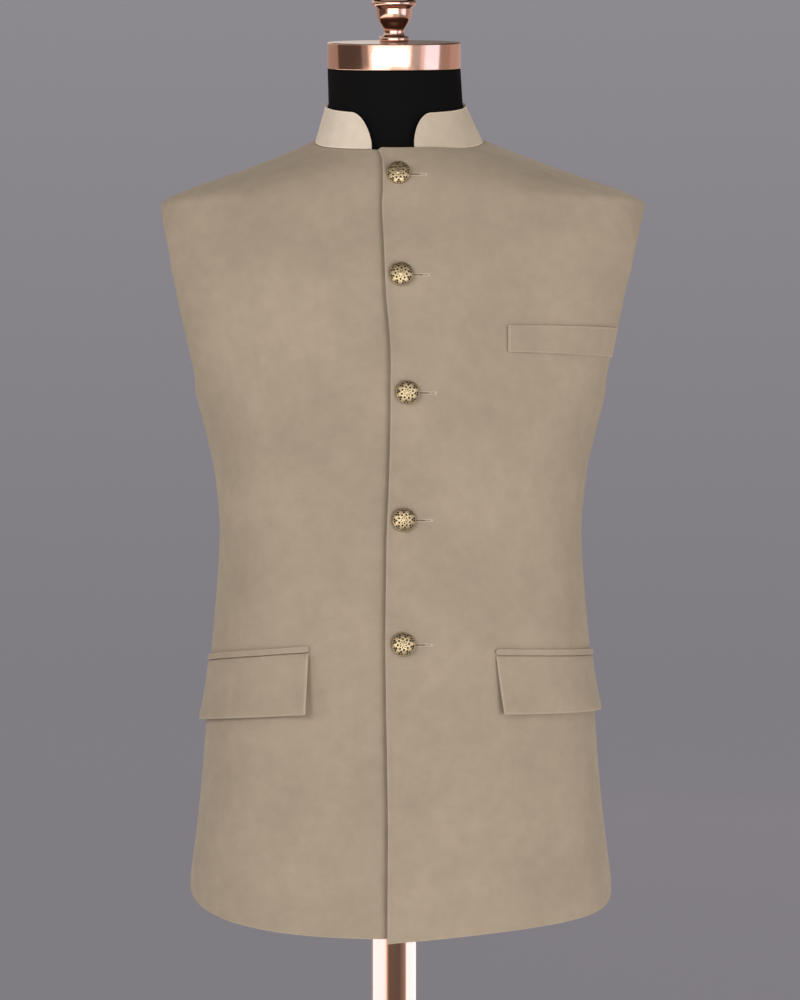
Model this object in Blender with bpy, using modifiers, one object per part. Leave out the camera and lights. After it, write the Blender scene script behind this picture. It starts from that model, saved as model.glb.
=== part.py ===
# Nehru jacket on a limbless dress form with a turned stand.
#
# Metres, +Z up. The jacket's front faces -Y and its wearer's left side is +X.
# The origin is the middle of the stand's underside.
#
# The jacket's outer surface is one smooth body, worked out from the sections
# below. Each panel is a wall cut from that surface: its rows are heights, and
# its columns are shares of the way from one edge of the panel to the other.

import math
from collections import namedtuple

import bmesh
import bpy
import numpy as np
from mathutils import Vector

# Walls and gaps
CLOTH = 0.0020
COLLAR_WALL = 0.0022
FLAP_WALL = 0.0020
WELT_WALL = 0.0016
SEAM_GAP = 0.0003
LAID_GAP = 0.0004
FORM_GAP = 0.0011

# Sections of the jacket's outer surface, from hem to neck. Half the width, the
# reach in front and behind, and how full the section is: 2 is an ellipse, and
# more is squarer. Near the neck a section dips in front and rises behind.
# The jacket sits a little to its wearer's left of the pole.
BODY_SHIFT = 0.0062
Section = namedtuple(
    "Section", "height half_width front back fullness dip rise shift", defaults=(0.0, 0.0, BODY_SHIFT)
)
BODY_SECTIONS = (
    Section(0.5000, 0.1985, 0.1280, 0.1320, 2.35),
    Section(0.5475, 0.1965, 0.1270, 0.1310, 2.35),
    Section(0.6040, 0.1900, 0.1250, 0.1300, 2.35),
    Section(0.6600, 0.1847, 0.1225, 0.1260, 2.35),
    Section(0.7170, 0.1810, 0.1200, 0.1180, 2.35),
    Section(0.7730, 0.1763, 0.1180, 0.1080, 2.35),
    Section(0.8295, 0.1716, 0.1160, 0.0990, 2.35),
    Section(0.8720, 0.1697, 0.1150, 0.0960, 2.35),
    Section(0.9280, 0.1748, 0.1180, 0.1000, 2.40),
    Section(0.9560, 0.1810, 0.1200, 0.1050, 2.45),
    Section(0.9950, 0.1908, 0.1230, 0.1120, 2.60),
    Section(1.0140, 0.1953, 0.1235, 0.1150, 2.70),
    Section(1.0320, 0.2030, 0.1235, 0.1170, 2.80),
    Section(1.0580, 0.2128, 0.1225, 0.1190, 2.90),
    Section(1.0900, 0.2220, 0.1200, 0.1200, 2.90),
    Section(1.1200, 0.2278, 0.1160, 0.1185, 2.90, 0.0001, 0.0002, 0.0070),
    Section(1.1450, 0.2284, 0.1100, 0.1155, 2.80, 0.0008, 0.0016, 0.0074),
    Section(1.1790, 0.2266, 0.1010, 0.1080, 2.45, 0.0030, 0.0060, 0.0083),
    Section(1.1820, 0.2229, 0.1003, 0.1072, 2.43, 0.0034, 0.0065, 0.0088),
    Section(1.1914, 0.2027, 0.0975, 0.1035, 2.35, 0.0050, 0.0090, 0.0086),
    Section(1.2102, 0.1496, 0.0905, 0.0925, 2.20, 0.0090, 0.0150, 0.0080),
    Section(1.2290, 0.0981, 0.0805, 0.0770, 2.05, 0.0130, 0.0220, 0.0062),
    Section(1.2366, 0.0788, 0.0760, 0.0700, 2.00, 0.0150, 0.0250, 0.0047),
)
HEM_LEVEL = BODY_SECTIONS[0].height
NECK_LEVEL = BODY_SECTIONS[-1].height
# Small steps that measure the surface's direction
LEVEL_STEP = 0.002
TURN_STEP = 0.01

# Armhole edges: how far the opening reaches forward and back of the side line.
Armhole = namedtuple("Armhole", "height front back")
ARMHOLE = (
    Armhole(0.9950, 0.000, 0.000),
    Armhole(1.0030, 0.028, 0.030),
    Armhole(1.0140, 0.043, 0.047),
    Armhole(1.0320, 0.058, 0.064),
    Armhole(1.0580, 0.067, 0.076),
    Armhole(1.0900, 0.068, 0.079),
    Armhole(1.1200, 0.064, 0.074),
    Armhole(1.1450, 0.051, 0.058),
    Armhole(1.1630, 0.034, 0.038),
    Armhole(1.1740, 0.018, 0.020),
    Armhole(1.1790, 0.000, 0.000),
)

# The lapped front edge, across from the body's middle, and the hidden edge under it.
Edge = namedtuple("Edge", "height across")
OVERLAP_EDGE = (
    Edge(0.500, -0.0097),
    Edge(0.648, -0.0119),
    Edge(0.770, -0.0136),
    Edge(0.860, -0.0127),
    Edge(0.918, -0.0104),
    Edge(0.972, -0.0091),
    Edge(1.029, -0.0089),
    Edge(1.088, -0.0133),
    Edge(1.136, -0.0163),
    Edge(1.174, -0.0186),
    Edge(1.237, -0.0188),
)
UNDERLAP_ACROSS = 0.020
LAP_LIFT = CLOTH + LAID_GAP
LAP_FADE_START = 0.022
LAP_FADE_END = 0.075

# Hem of each panel: its height at the centre, then what is added towards the
# side, where two rounded corners leave a small notch at the side seam.
Hem = namedtuple("Hem", "start straight sweep sweep_power corner")
HEMS = {
    "left_front": Hem(0.5004, 0.025, 0.018, 8, 0.010),
    "right_front": Hem(0.5045, 0.000, 0.043, 3, 0.009),
    "back_left": Hem(0.5030, 0.000, 0.041, 3, 0.010),
    "back_right": Hem(0.5030, 0.000, 0.041, 3, 0.010),
}
HEM_CORNER_POWER = 20
HEM_ZONE_TOP = 0.604
HEM_ROWS = (0.0, 0.10, 0.35, 0.68)
BODY_ROWS = (0.604, 0.655, 0.705, 0.762, 0.820, 0.875, 0.930, 0.965)
SHOULDER_ROWS = (1.1820, 1.1914, 1.2020, 1.2130, 1.2250, 1.2366)
FLAP_COLUMN = 0.393
BREAST_WELT_COLUMN = 0.483
FRONT_COLUMNS = (0.0, 0.06, 0.13, 0.21, 0.30, FLAP_COLUMN, BREAST_WELT_COLUMN,
                 0.57, 0.65, 0.73, 0.80, 0.86, 0.91, 0.95, 0.98, 1.0)
BACK_COLUMNS = (0.0, 0.10, 0.21, 0.33, 0.45, 0.56, 0.66, 0.75, 0.83, 0.89, 0.94, 0.975, 1.0)

# Collar: a band that leans in, with large rounded front ends
COLLAR_TOP = Section(1.2710, 0.0660, 0.0685, 0.0665, 2.0, 0.0158, 0.0200, 0.0014)
COLLAR_END_RIGHT = -0.0256
COLLAR_END_LEFT = 0.0148
COLLAR_ROUND = 0.021
COLLAR_END_SHARE = 0.06
COLLAR_END_POWER = 0.7
COLLAR_END_COLUMNS = (0.0, 0.0015, 0.0045, 0.009, 0.0145, COLLAR_ROUND)
COLLAR_COLUMNS = 34
COLLAR_ROWS = 3

# Pockets. Heights at the end near the front edge (inner) and near the side (outer)
Flap = namedtuple("Flap", "side inner_across inner_top inner_bottom outer_top outer_bottom")
FLAPS = (
    Flap("left", 0.0860, 0.7590, 0.7056, 0.7548, 0.7039),
    Flap("right", 0.0823, 0.7616, 0.7056, 0.7483, 0.6936),
)
FLAP_END_COLUMN = 0.98
POCKET_WELT_HEIGHT = 0.0060
BREAST_WELT = Flap("left", 0.0967, 1.0578, 1.0338, 1.0584, 1.0317)
BREAST_WELT_END_SHARE = 0.993

# Buttons: across from the body's middle, and height
Button = namedtuple("Button", "across height")
BUTTONS = (
    Button(-0.0038, 1.1963),
    Button(0.0005, 1.1037),
    Button(0.0065, 0.9973),
    Button(0.0032, 0.8824),
    Button(0.0028, 0.7698),
)
BUTTON_RADIUS = 0.01075
BUTTON_SHANK_RADIUS = 0.0030
BUTTON_SHANK = 0.0018
BUTTON_HEIGHT = 0.0062
BUTTON_RIM = 0.0012
BUTTON_UNDERCUT = 0.0006
BUTTON_STEPS = 16

# Dress form. Below the shoulder tips it has sections of its own, and above them
# it follows the inside of the jacket up to the neck.
FORM_SECTIONS = (
    Section(0.5800, 0.1660, 0.0980, 0.1080, 2.30),
    Section(0.5860, 0.1760, 0.1070, 0.1170, 2.30),
    Section(0.6040, 0.1790, 0.1100, 0.1200, 2.30),
    Section(0.6600, 0.1755, 0.1080, 0.1160, 2.30),
    Section(0.7170, 0.1715, 0.1060, 0.1080, 2.30),
    Section(0.7730, 0.1655, 0.1040, 0.0980, 2.30),
    Section(0.8295, 0.1585, 0.1020, 0.0890, 2.30),
    Section(0.8720, 0.1570, 0.1010, 0.0860, 2.30),
    Section(0.9280, 0.1640, 0.1060, 0.0910, 2.35),
    Section(0.9940, 0.1800, 0.1120, 0.1020, 2.50),
    Section(1.0450, 0.1895, 0.1155, 0.1100, 2.60),
    Section(1.1000, 0.2010, 0.1120, 0.1130, 2.60),
    Section(1.1450, 0.2110, 0.1045, 0.1095, 2.55, 0.0005, 0.0010, 0.0072),
    Section(1.1660, 0.2155, 0.0995, 0.1060, 2.50, 0.0015, 0.0030, 0.0080),
    Section(1.1760, 0.2175, 0.0975, 0.1040, 2.40, 0.0025, 0.0045, 0.0084),
)
NECK_SECTIONS = (
    Section(1.2380, 0.0695, 0.0675, 0.0625, 2.0, 0.0150, 0.0230, 0.0040),
    Section(1.2450, 0.0655, 0.0655, 0.0622, 2.0, 0.0140, 0.0200, 0.0030),
    Section(1.2600, 0.0634, 0.0635, 0.0620, 2.0, 0.0125, 0.0150, 0.0020),
    Section(1.2760, 0.0630, 0.0630, 0.0620, 2.0, 0.0115, 0.0125, 0.0013),
)
FORM_SHOULDER_ROWS = (1.1840, 1.1914, 1.2020, 1.2130, 1.2250, 1.2340)
FORM_COLUMNS = 40
FORM_BOTTOM = FORM_SECTIONS[0].height

# Metal work. The neck and what stands on it lean a little forward.
NECK_LEAN = math.radians(10)
CAP_BOTTOM = 1.3056
CAP_RADIUS = 0.0627
CAP_HEIGHT = 0.0246
CAP_BEVEL = 0.0012
NECK_RADIUS = 0.0625
POLE_RADIUS = 0.0210
BASE_RADIUS = 0.1750
BASE_THICK = 0.0100
BOSS_RADIUS = 0.0360
BOSS_HEIGHT = 0.0260
BOSS_ROUND = 0.006
BOSS_FILLET = 0.004
BASE_BEVEL = 0.0015
TURNED_STEPS = 36
FINIAL_STEPS = 24

# Colours and finishes: red, green, blue, roughness, metallic
Finish = namedtuple("Finish", "red green blue roughness metallic")
VELVET = Finish(0.37, 0.29, 0.22, 0.85, 0.0)
COLLAR_VELVET = Finish(0.48, 0.39, 0.30, 0.85, 0.0)
JERSEY = Finish(0.011, 0.010, 0.010, 0.75, 0.0)
ANTIQUE_GOLD = Finish(0.55, 0.42, 0.24, 0.40, 1.0)
ROSE_GOLD = Finish(0.80, 0.50, 0.40, 0.18, 1.0)


class Curve:
    """One column of a table, read at any height without swinging past its values."""

    def __init__(self, table, column):
        self.heights = np.array([row.height for row in table])
        self.values = np.array([getattr(row, column) for row in table])
        steps = np.diff(self.values) / np.diff(self.heights)
        self.slopes = np.zeros(len(table))
        self.slopes[0], self.slopes[-1] = steps[0], steps[-1]
        for i, (below, above) in enumerate(zip(steps, steps[1:]), start=1):
            if below * above > 0:
                self.slopes[i] = 2 * below * above / (below + above)

    def at(self, height):
        height = float(np.clip(height, self.heights[0], self.heights[-1]))
        i = int(np.clip(np.searchsorted(self.heights, height) - 1, 0, len(self.heights) - 2))
        span = self.heights[i + 1] - self.heights[i]
        t = (height - self.heights[i]) / span
        rise = self.values[i + 1] - self.values[i]
        start, end = self.slopes[i] * span, self.slopes[i + 1] * span
        return float(self.values[i] + t * (start + t * (3 * rise - 2 * start - end
                                                        + t * (start + end - 2 * rise))))


def curves_of(table):
    return {column: Curve(table, column) for column in table[0]._fields if column != "height"}


BODY = curves_of(BODY_SECTIONS)
ARMHOLES = curves_of(ARMHOLE)
OVERLAP = Curve(OVERLAP_EDGE, "across")


def section_at(level):
    return Section(level, **{column: curve.at(level) for column, curve in BODY.items()})


def signed_power(value, power):
    return math.copysign(abs(value) ** power, value)


def ring_point(section, turn):
    """A point of a section. A turn of 0 is the front, a quarter turn the wearer's left."""
    power = 2 / section.fullness
    depth = section.front if math.cos(turn) > 0 else section.back
    across = section.half_width * signed_power(math.sin(turn), power)
    along = -depth * signed_power(math.cos(turn), power)
    front, back = section.front, section.back
    cup = (section.rise * front - section.dip * back) / (front * back * (front + back))
    lean = section.dip / front + cup * front
    height = section.height + lean * along + cup * along * along
    return Vector((section.shift + across, along, height))


def body_point(level, turn):
    return ring_point(section_at(level), turn)


def body_normal(level, turn):
    """The outward direction of the jacket's surface."""
    above = min(level + LEVEL_STEP, NECK_LEVEL)
    below = max(level - LEVEL_STEP, HEM_LEVEL)
    up = body_point(above, turn) - body_point(below, turn)
    around = body_point(level, turn + TURN_STEP) - body_point(level, turn - TURN_STEP)
    return around.cross(up).normalized()


def turn_at_across(level, across):
    section = section_at(level)
    share = min(abs(across) / section.half_width, 1.0)
    return math.copysign(math.asin(share ** (section.fullness / 2)), across)


def armhole_turn(reach, depth, fullness):
    return math.acos((reach / depth) ** (fullness / 2))


def front_end_turn(level):
    """Where a front panel ends: at the side line, or at its armhole edge."""
    section = section_at(level)
    return armhole_turn(ARMHOLES["front"].at(level), section.front, section.fullness)


def back_end_turn(level):
    section = section_at(level)
    return math.pi - armhole_turn(ARMHOLES["back"].at(level), section.back, section.fullness)


def turns_between(point_at, start, end, shares):
    """Turns at these shares of the way along a ring between two turns."""
    fine = np.linspace(start, end, 73)
    points = [point_at(turn) for turn in fine]
    steps = [(b - a).length for a, b in zip(points, points[1:])]
    walked = np.concatenate([[0.0], np.cumsum(steps)])
    return [float(turn) for turn in np.interp(np.array(shares) * walked[-1], walked, fine)]


def body_turns(level, start, end, shares):
    return turns_between(lambda turn: body_point(level, turn), start, end, shares)


def place_on_front(across, height):
    """The level and turn of a point on the front, from its place across and its height."""
    level = height
    for _ in range(6):
        turn = turn_at_across(level, across)
        level += height - body_point(level, turn).z
    return level, turn_at_across(level, across)


def smooth_step(value, start, end):
    t = min(max((value - start) / (end - start), 0.0), 1.0)
    return t * t * (3 - 2 * t)


def lap_lift(level, turn):
    """How far the left front stands out where it laps over the right one."""
    across = body_point(level, turn).x - section_at(level).shift
    return LAP_LIFT * (1 - smooth_step(across, LAP_FADE_START, LAP_FADE_END))


def make_material(name, finish):
    material = bpy.data.materials.new(name)
    material.use_nodes = True
    shader = material.node_tree.nodes["Principled BSDF"]
    shader.inputs["Base Color"].default_value = (finish.red, finish.green, finish.blue, 1)
    shader.inputs["Roughness"].default_value = finish.roughness
    shader.inputs["Metallic"].default_value = finish.metallic
    return material


def add_object(name, mesh, finish, smooth_angle=35):
    mesh.materials.append(make_material(name, finish))
    mesh.shade_smooth()
    mesh.set_sharp_from_angle(angle=math.radians(smooth_angle))
    made = bpy.data.objects.new(name, mesh)
    jacket_collection.objects.link(made)
    return made


def make_wall(name, outer, inner, finish):
    """A closed wall between two grids of points, rows going up and columns to the left side."""
    mesh = bpy.data.meshes.new(name)
    work = bmesh.new()
    outside = [[work.verts.new(point) for point in row] for row in outer]
    inside = [[work.verts.new(point) for point in row] for row in inner]
    rows, columns = len(outer), len(outer[0])
    for r in range(rows - 1):
        for c in range(columns - 1):
            work.faces.new((outside[r][c], outside[r][c + 1],
                            outside[r + 1][c + 1], outside[r + 1][c]))
            work.faces.new((inside[r][c], inside[r + 1][c],
                            inside[r + 1][c + 1], inside[r][c + 1]))
    round_edge = ([(0, c) for c in range(columns)]
                  + [(r, columns - 1) for r in range(1, rows)]
                  + [(rows - 1, c) for c in range(columns - 2, -1, -1)]
                  + [(r, 0) for r in range(rows - 2, 0, -1)])
    for (r, c), (next_r, next_c) in zip(round_edge, round_edge[1:] + round_edge[:1]):
        work.faces.new((outside[next_r][next_c], outside[r][c],
                        inside[r][c], inside[next_r][next_c]))
    bmesh.ops.recalc_face_normals(work, faces=work.faces)
    bmesh.ops.triangulate(work, faces=work.faces, quad_method="SHORT_EDGE")
    work.to_mesh(mesh)
    work.free()
    return add_object(name, mesh, finish)


def make_loft(name, rings, finish):
    """A closed body through rings of points, with flat ends."""
    mesh = bpy.data.meshes.new(name)
    work = bmesh.new()
    made = [[work.verts.new(point) for point in ring] for ring in rings]
    count = len(rings[0])
    for lower, upper in zip(made, made[1:]):
        for i in range(count):
            following = (i + 1) % count
            work.faces.new((lower[i], lower[following], upper[following], upper[i]))
    work.faces.new(made[0][::-1])
    work.faces.new(made[-1])
    bmesh.ops.recalc_face_normals(work, faces=work.faces)
    bmesh.ops.triangulate(work, faces=work.faces, quad_method="SHORT_EDGE")
    work.to_mesh(mesh)
    work.free()
    return add_object(name, mesh, finish)


def make_turned(name, profile, finish, steps=TURNED_STEPS):
    """A turned body from a profile of radius and height, top to bottom, about local Z."""
    mesh = bpy.data.meshes.new(name)
    points = [(radius, 0.0, height) for radius, height in profile]
    mesh.from_pydata(points, [(i, i + 1) for i in range(len(points) - 1)], [])
    made = add_object(name, mesh, finish)
    screw = made.modifiers.new("Turn", "SCREW")
    screw.axis = "Z"
    screw.steps = steps
    screw.render_steps = steps
    screw.use_merge_vertices = True
    screw.merge_threshold = 0.00005
    screw.use_smooth_shade = True
    return made


def arc_profile(middle_radius, middle_height, across, up, start, end, count):
    """Points of a round stretch of a profile, from one angle in degrees to another."""
    angles = [math.radians(start + (end - start) * i / count) for i in range(count + 1)]
    return [(middle_radius + across * math.cos(a), middle_height + up * math.sin(a))
            for a in angles]


def hem_height(hem, share):
    return (hem.start + hem.straight * share + hem.sweep * share ** hem.sweep_power
            + hem.corner * share ** HEM_CORNER_POWER)


def panel_rows():
    armhole_rows = tuple(row.height for row in ARMHOLE)
    return BODY_ROWS + armhole_rows + SHOULDER_ROWS


def make_panel(name, columns, start_turn, end_turn, seam_away, lift=None):
    """A body panel. start_turn and end_turn give its edges at a level, and
    seam_away moves an edge back from the seam that it meets."""
    hem = HEMS[name]
    outer, inner = [], []
    places = [(HEM_ZONE_TOP, share) for share in HEM_ROWS] + [(row, None) for row in panel_rows()]
    for level, hem_share in places:
        turns = body_turns(level, start_turn(level), end_turn(level), columns)
        outer_row, inner_row = [], []
        for share, turn in zip(columns, turns):
            here = level
            if hem_share is not None:
                low = hem_height(hem, share)
                here = low + (HEM_ZONE_TOP - low) * hem_share
            normal = body_normal(here, turn)
            point = body_point(here, turn) + seam_away(share, level)
            if lift:
                point += normal * lift(here, turn)
            outer_row.append(point)
            inner_row.append(point - normal * CLOTH)
        outer.append(outer_row)
        inner.append(inner_row)
    return make_wall(name, outer, inner, VELVET)


def front_seam(share, level):
    """Fronts stop short of the side and shoulder seams by half the gap."""
    return Vector((0, -SEAM_GAP / 2 if share == 1.0 else 0, 0))


def make_fronts():
    make_panel("left_front", FRONT_COLUMNS,
               lambda level: turn_at_across(level, OVERLAP.at(level)),
               front_end_turn, front_seam, lap_lift)
    make_panel("right_front", FRONT_COLUMNS,
               lambda level: turn_at_across(level, UNDERLAP_ACROSS),
               lambda level: -front_end_turn(level), front_seam)


def make_backs():
    for name, side in (("back_left", 1), ("back_right", -1)):
        def back_seam(share, level, side=side):
            return Vector((side * SEAM_GAP / 2 if share == 0.0 else 0,
                           SEAM_GAP / 2 if share == 1.0 else 0, 0))
        make_panel(name, BACK_COLUMNS,
                   lambda level, side=side: side * math.pi,
                   lambda level, side=side: side * back_end_turn(level),
                   back_seam)


def collar_base_point(turn):
    return body_point(NECK_LEVEL, turn) + Vector((0, 0, SEAM_GAP))


def collar_point(turn, up):
    base = collar_base_point(turn)
    return base + (ring_point(COLLAR_TOP, turn) - base) * up


def collar_normal(turn, up):
    around = collar_point(turn + TURN_STEP, up) - collar_point(turn - TURN_STEP, up)
    lean = collar_point(turn, 1) - collar_point(turn, 0)
    return around.cross(lean).normalized()


def collar_share(distance):
    """The collar's height, as a share, at a distance from its rounded end."""
    if distance >= COLLAR_ROUND:
        return 1.0
    rounded = (1 - (1 - distance / COLLAR_ROUND) ** 2) ** COLLAR_END_POWER
    return COLLAR_END_SHARE + (1 - COLLAR_END_SHARE) * rounded


def make_collar():
    start = turn_at_across(NECK_LEVEL, COLLAR_END_LEFT)
    end = 2 * math.pi + turn_at_across(NECK_LEVEL, COLLAR_END_RIGHT)
    fine = np.linspace(start, end, 361)
    points = [collar_base_point(turn) for turn in fine]
    length = sum((b - a).length for a, b in zip(points, points[1:]))
    middle = np.linspace(COLLAR_ROUND, length - COLLAR_ROUND, COLLAR_COLUMNS)[1:-1]
    distances = ([*COLLAR_END_COLUMNS] + list(middle)
                 + [length - d for d in reversed(COLLAR_END_COLUMNS)])
    turns = turns_between(collar_base_point, start, end, [d / length for d in distances])
    outer, inner = [], []
    for row in range(COLLAR_ROWS + 1):
        outer_row, inner_row = [], []
        for distance, turn in zip(distances, turns):
            up = row / COLLAR_ROWS * collar_share(min(distance, length - distance))
            point = collar_point(turn, up)
            outer_row.append(point)
            inner_row.append(point - collar_normal(turn, up) * COLLAR_WALL)
        outer.append(outer_row)
        inner.append(inner_row)
    make_wall("collar", outer, inner, COLLAR_VELVET)


def make_laid_piece(name, flap, first_column, end_share, low, high, rows, wall):
    """A piece that lies on a front, made from the front's own surface and moved out.
    low and high give its lower and upper edge at a share of its width."""
    side = 1 if flap.side == "left" else -1
    laid = [column for column in FRONT_COLUMNS if column >= first_column and column < end_share]
    laid.append(end_share)
    shares = [(column - first_column) / (1 - first_column) for column in laid]
    outer, inner = [], []
    for row in range(rows + 1):
        outer_row, inner_row = [], []
        for share in shares:
            level = low(share) + (high(share) - low(share)) * row / rows
            start = turn_at_across(level, flap.inner_across)
            turn = body_turns(level, start, front_end_turn(level), [share])[0] * side
            normal = body_normal(level, turn)
            point = body_point(level, turn)
            outer_row.append(point + normal * (LAID_GAP + wall))
            inner_row.append(point + normal * LAID_GAP)
        outer.append(outer_row)
        inner.append(inner_row)
    make_wall(name, outer, inner, VELVET)


def slope(inner_height, outer_height):
    return lambda share: inner_height + (outer_height - inner_height) * share


def make_pockets():
    for flap in FLAPS:
        top = slope(flap.inner_top, flap.outer_top)
        bottom = slope(flap.inner_bottom, flap.outer_bottom)
        make_laid_piece(f"{flap.side}_flap", flap, FLAP_COLUMN, FLAP_END_COLUMN,
                        bottom, top, 3, FLAP_WALL)
        make_laid_piece(f"{flap.side}_pocket_welt", flap, FLAP_COLUMN, FLAP_END_COLUMN,
                        lambda share, top=top: top(share) + SEAM_GAP,
                        lambda share, top=top: top(share) + POCKET_WELT_HEIGHT,
                        1, WELT_WALL)
    make_laid_piece("breast_welt", BREAST_WELT, BREAST_WELT_COLUMN, BREAST_WELT_END_SHARE,
                    slope(BREAST_WELT.inner_bottom, BREAST_WELT.outer_bottom),
                    slope(BREAST_WELT.inner_top, BREAST_WELT.outer_top), 2, FLAP_WALL)


def make_buttons():
    rim_height = BUTTON_SHANK + BUTTON_RIM
    dome = arc_profile(0, rim_height, BUTTON_RADIUS, BUTTON_HEIGHT - rim_height, 90, 0, 5)
    dome[0] = (0.0, BUTTON_HEIGHT)
    profile = dome + [
        (BUTTON_RADIUS - BUTTON_UNDERCUT, BUTTON_SHANK), (BUTTON_SHANK_RADIUS, BUTTON_SHANK),
        (BUTTON_SHANK_RADIUS, 0.0), (0.0, 0.0)]
    for number, button in enumerate(BUTTONS, start=1):
        level, turn = place_on_front(button.across, button.height)
        normal = body_normal(level, turn)
        made = make_turned(f"button_{number}", profile, ANTIQUE_GOLD, BUTTON_STEPS)
        made.location = body_point(level, turn) + normal * (lap_lift(level, turn) + LAID_GAP)
        made.rotation_mode = "QUATERNION"
        made.rotation_quaternion = normal.to_track_quat("Z", "Y")


def form_ring(point_at):
    shares = [i / FORM_COLUMNS for i in range(FORM_COLUMNS)]
    return [point_at(turn) for turn in turns_between(point_at, 0, 2 * math.pi, shares)]


def under_jacket(level):
    """The point of the form under the jacket's shoulder at a turn."""
    def point_at(turn):
        return body_point(level, turn) - body_normal(level, turn) * (CLOTH + FORM_GAP)
    return point_at


def make_dress_form():
    rings = [form_ring(lambda turn, s=section: ring_point(s, turn)) for section in FORM_SECTIONS]
    rings += [form_ring(under_jacket(level)) for level in FORM_SHOULDER_ROWS]
    rings += [form_ring(lambda turn, s=section: ring_point(s, turn)) for section in NECK_SECTIONS]
    tip = NECK_RADIUS * math.tan(NECK_LEAN)
    top = Section(CAP_BOTTOM - SEAM_GAP, NECK_RADIUS, NECK_RADIUS, NECK_RADIUS, 2.0, tip, tip, 0.0)
    rings.append(form_ring(lambda turn: ring_point(top, turn)))
    make_loft("dress_form", rings, JERSEY)


# The knob's profile above its foot: a rounded top, a broad ring, a cup, a thin
# stem and a foot ring
FINIAL_PROFILE = (
    arc_profile(0, 0.0490, 0.0166, 0.0170, 90, 0, 6) + [(0.0166, 0.0420)]
    + arc_profile(0.0175, 0.0362, 0.0034, 0.0036, 70, -70, 4)
    + [(0.0166, 0.0310), (0.0163, 0.0240), (0.0135, 0.0180), (0.0104, 0.0130),
       (0.0097, 0.0100), (0.0097, 0.0070), (0.0104, 0.0058), (0.0132, 0.0052),
       (0.0138, 0.0042), (0.0138, 0.0010), (0.0132, 0.0), (0.0, 0.0)]
)


def make_neck_metal():
    cap = make_turned("neck_cap", [
        (0.0, CAP_HEIGHT), (CAP_RADIUS - CAP_BEVEL, CAP_HEIGHT),
        (CAP_RADIUS, CAP_HEIGHT - CAP_BEVEL), (CAP_RADIUS, CAP_BEVEL),
        (CAP_RADIUS - CAP_BEVEL, 0.0), (0.0, 0.0)], ROSE_GOLD)
    cap.location = (0, 0, CAP_BOTTOM)
    cap.rotation_euler.x = NECK_LEAN
    knob = make_turned("finial", FINIAL_PROFILE, ROSE_GOLD, FINIAL_STEPS)
    along = Vector((0, -math.sin(NECK_LEAN), math.cos(NECK_LEAN)))
    knob.location = cap.location + along * (CAP_HEIGHT + SEAM_GAP)
    knob.rotation_euler.x = NECK_LEAN


def make_stand():
    pole_bottom = BOSS_HEIGHT + SEAM_GAP
    pole_top = FORM_BOTTOM - SEAM_GAP
    make_turned("stand_pole", [(0.0, pole_top), (POLE_RADIUS, pole_top),
                               (POLE_RADIUS, pole_bottom), (0.0, pole_bottom)], ROSE_GOLD)
    make_turned("stand_base", [
        (0.0, BOSS_HEIGHT), (BOSS_RADIUS - BOSS_ROUND, BOSS_HEIGHT),
        (BOSS_RADIUS - BOSS_ROUND / 3, BOSS_HEIGHT - BOSS_ROUND / 3),
        (BOSS_RADIUS, BOSS_HEIGHT - BOSS_ROUND), (BOSS_RADIUS, BASE_THICK + BOSS_FILLET),
        (BOSS_RADIUS + BOSS_FILLET, BASE_THICK), (BASE_RADIUS - BASE_BEVEL, BASE_THICK),
        (BASE_RADIUS, BASE_THICK - BASE_BEVEL), (BASE_RADIUS, BASE_BEVEL),
        (BASE_RADIUS - BASE_BEVEL, 0.0), (0.0, 0.0)], ROSE_GOLD)


for old in list(bpy.data.objects):
    bpy.data.objects.remove(old, do_unlink=True)
jacket_collection = bpy.data.collections.new("nehru_jacket_on_dress_form")
bpy.context.scene.collection.children.link(jacket_collection)

make_fronts()
make_backs()
make_collar()
make_pockets()
make_buttons()
make_dress_form()
make_neck_metal()
make_stand()
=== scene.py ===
# Looks of the nehru jacket on its dress form: studio, stand, form, then the jacket
# in the order in which it is put together.
# Metres, +Z up, the front faces -Y and the wearer's left is +X. A turn is an angle
# round the body: 0 is the front, a quarter turn the wearer's left.

import math
from collections import namedtuple

import bpy
import numpy as np
from mathutils import Matrix, Quaternion, Vector


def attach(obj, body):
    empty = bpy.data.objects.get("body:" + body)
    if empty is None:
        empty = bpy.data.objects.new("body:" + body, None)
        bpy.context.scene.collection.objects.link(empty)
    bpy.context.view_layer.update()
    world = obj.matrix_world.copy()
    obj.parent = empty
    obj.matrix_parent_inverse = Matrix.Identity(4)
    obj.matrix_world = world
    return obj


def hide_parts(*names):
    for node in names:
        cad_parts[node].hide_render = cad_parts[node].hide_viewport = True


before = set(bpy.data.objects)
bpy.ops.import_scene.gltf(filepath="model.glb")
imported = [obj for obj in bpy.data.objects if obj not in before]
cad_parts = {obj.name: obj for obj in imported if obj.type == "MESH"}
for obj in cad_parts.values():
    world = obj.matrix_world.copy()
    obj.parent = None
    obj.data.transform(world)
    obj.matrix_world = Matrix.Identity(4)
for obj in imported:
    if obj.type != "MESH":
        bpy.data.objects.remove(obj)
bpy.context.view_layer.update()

# Camera
# A level camera three metres in front of the jacket, at the height of its waist,
# with a long lens, so that the front is seen almost without perspective.
CAMERA_PLACE = (0.0056, -3.0, 0.90)
CAMERA_LENS = 114.876


def add_object(name, data):
    """A new object in the scene."""
    added = bpy.data.objects.new(name, data)
    bpy.context.scene.collection.objects.link(added)
    return added


camera_data = bpy.data.cameras.new("camera")
camera_data.lens = CAMERA_LENS
camera_data.sensor_width = 36.0
camera_data.clip_end = 100.0
camera = add_object("camera", camera_data)
camera.location = CAMERA_PLACE
camera.rotation_euler = (math.pi / 2, 0, 0)
bpy.context.scene.camera = camera

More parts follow.
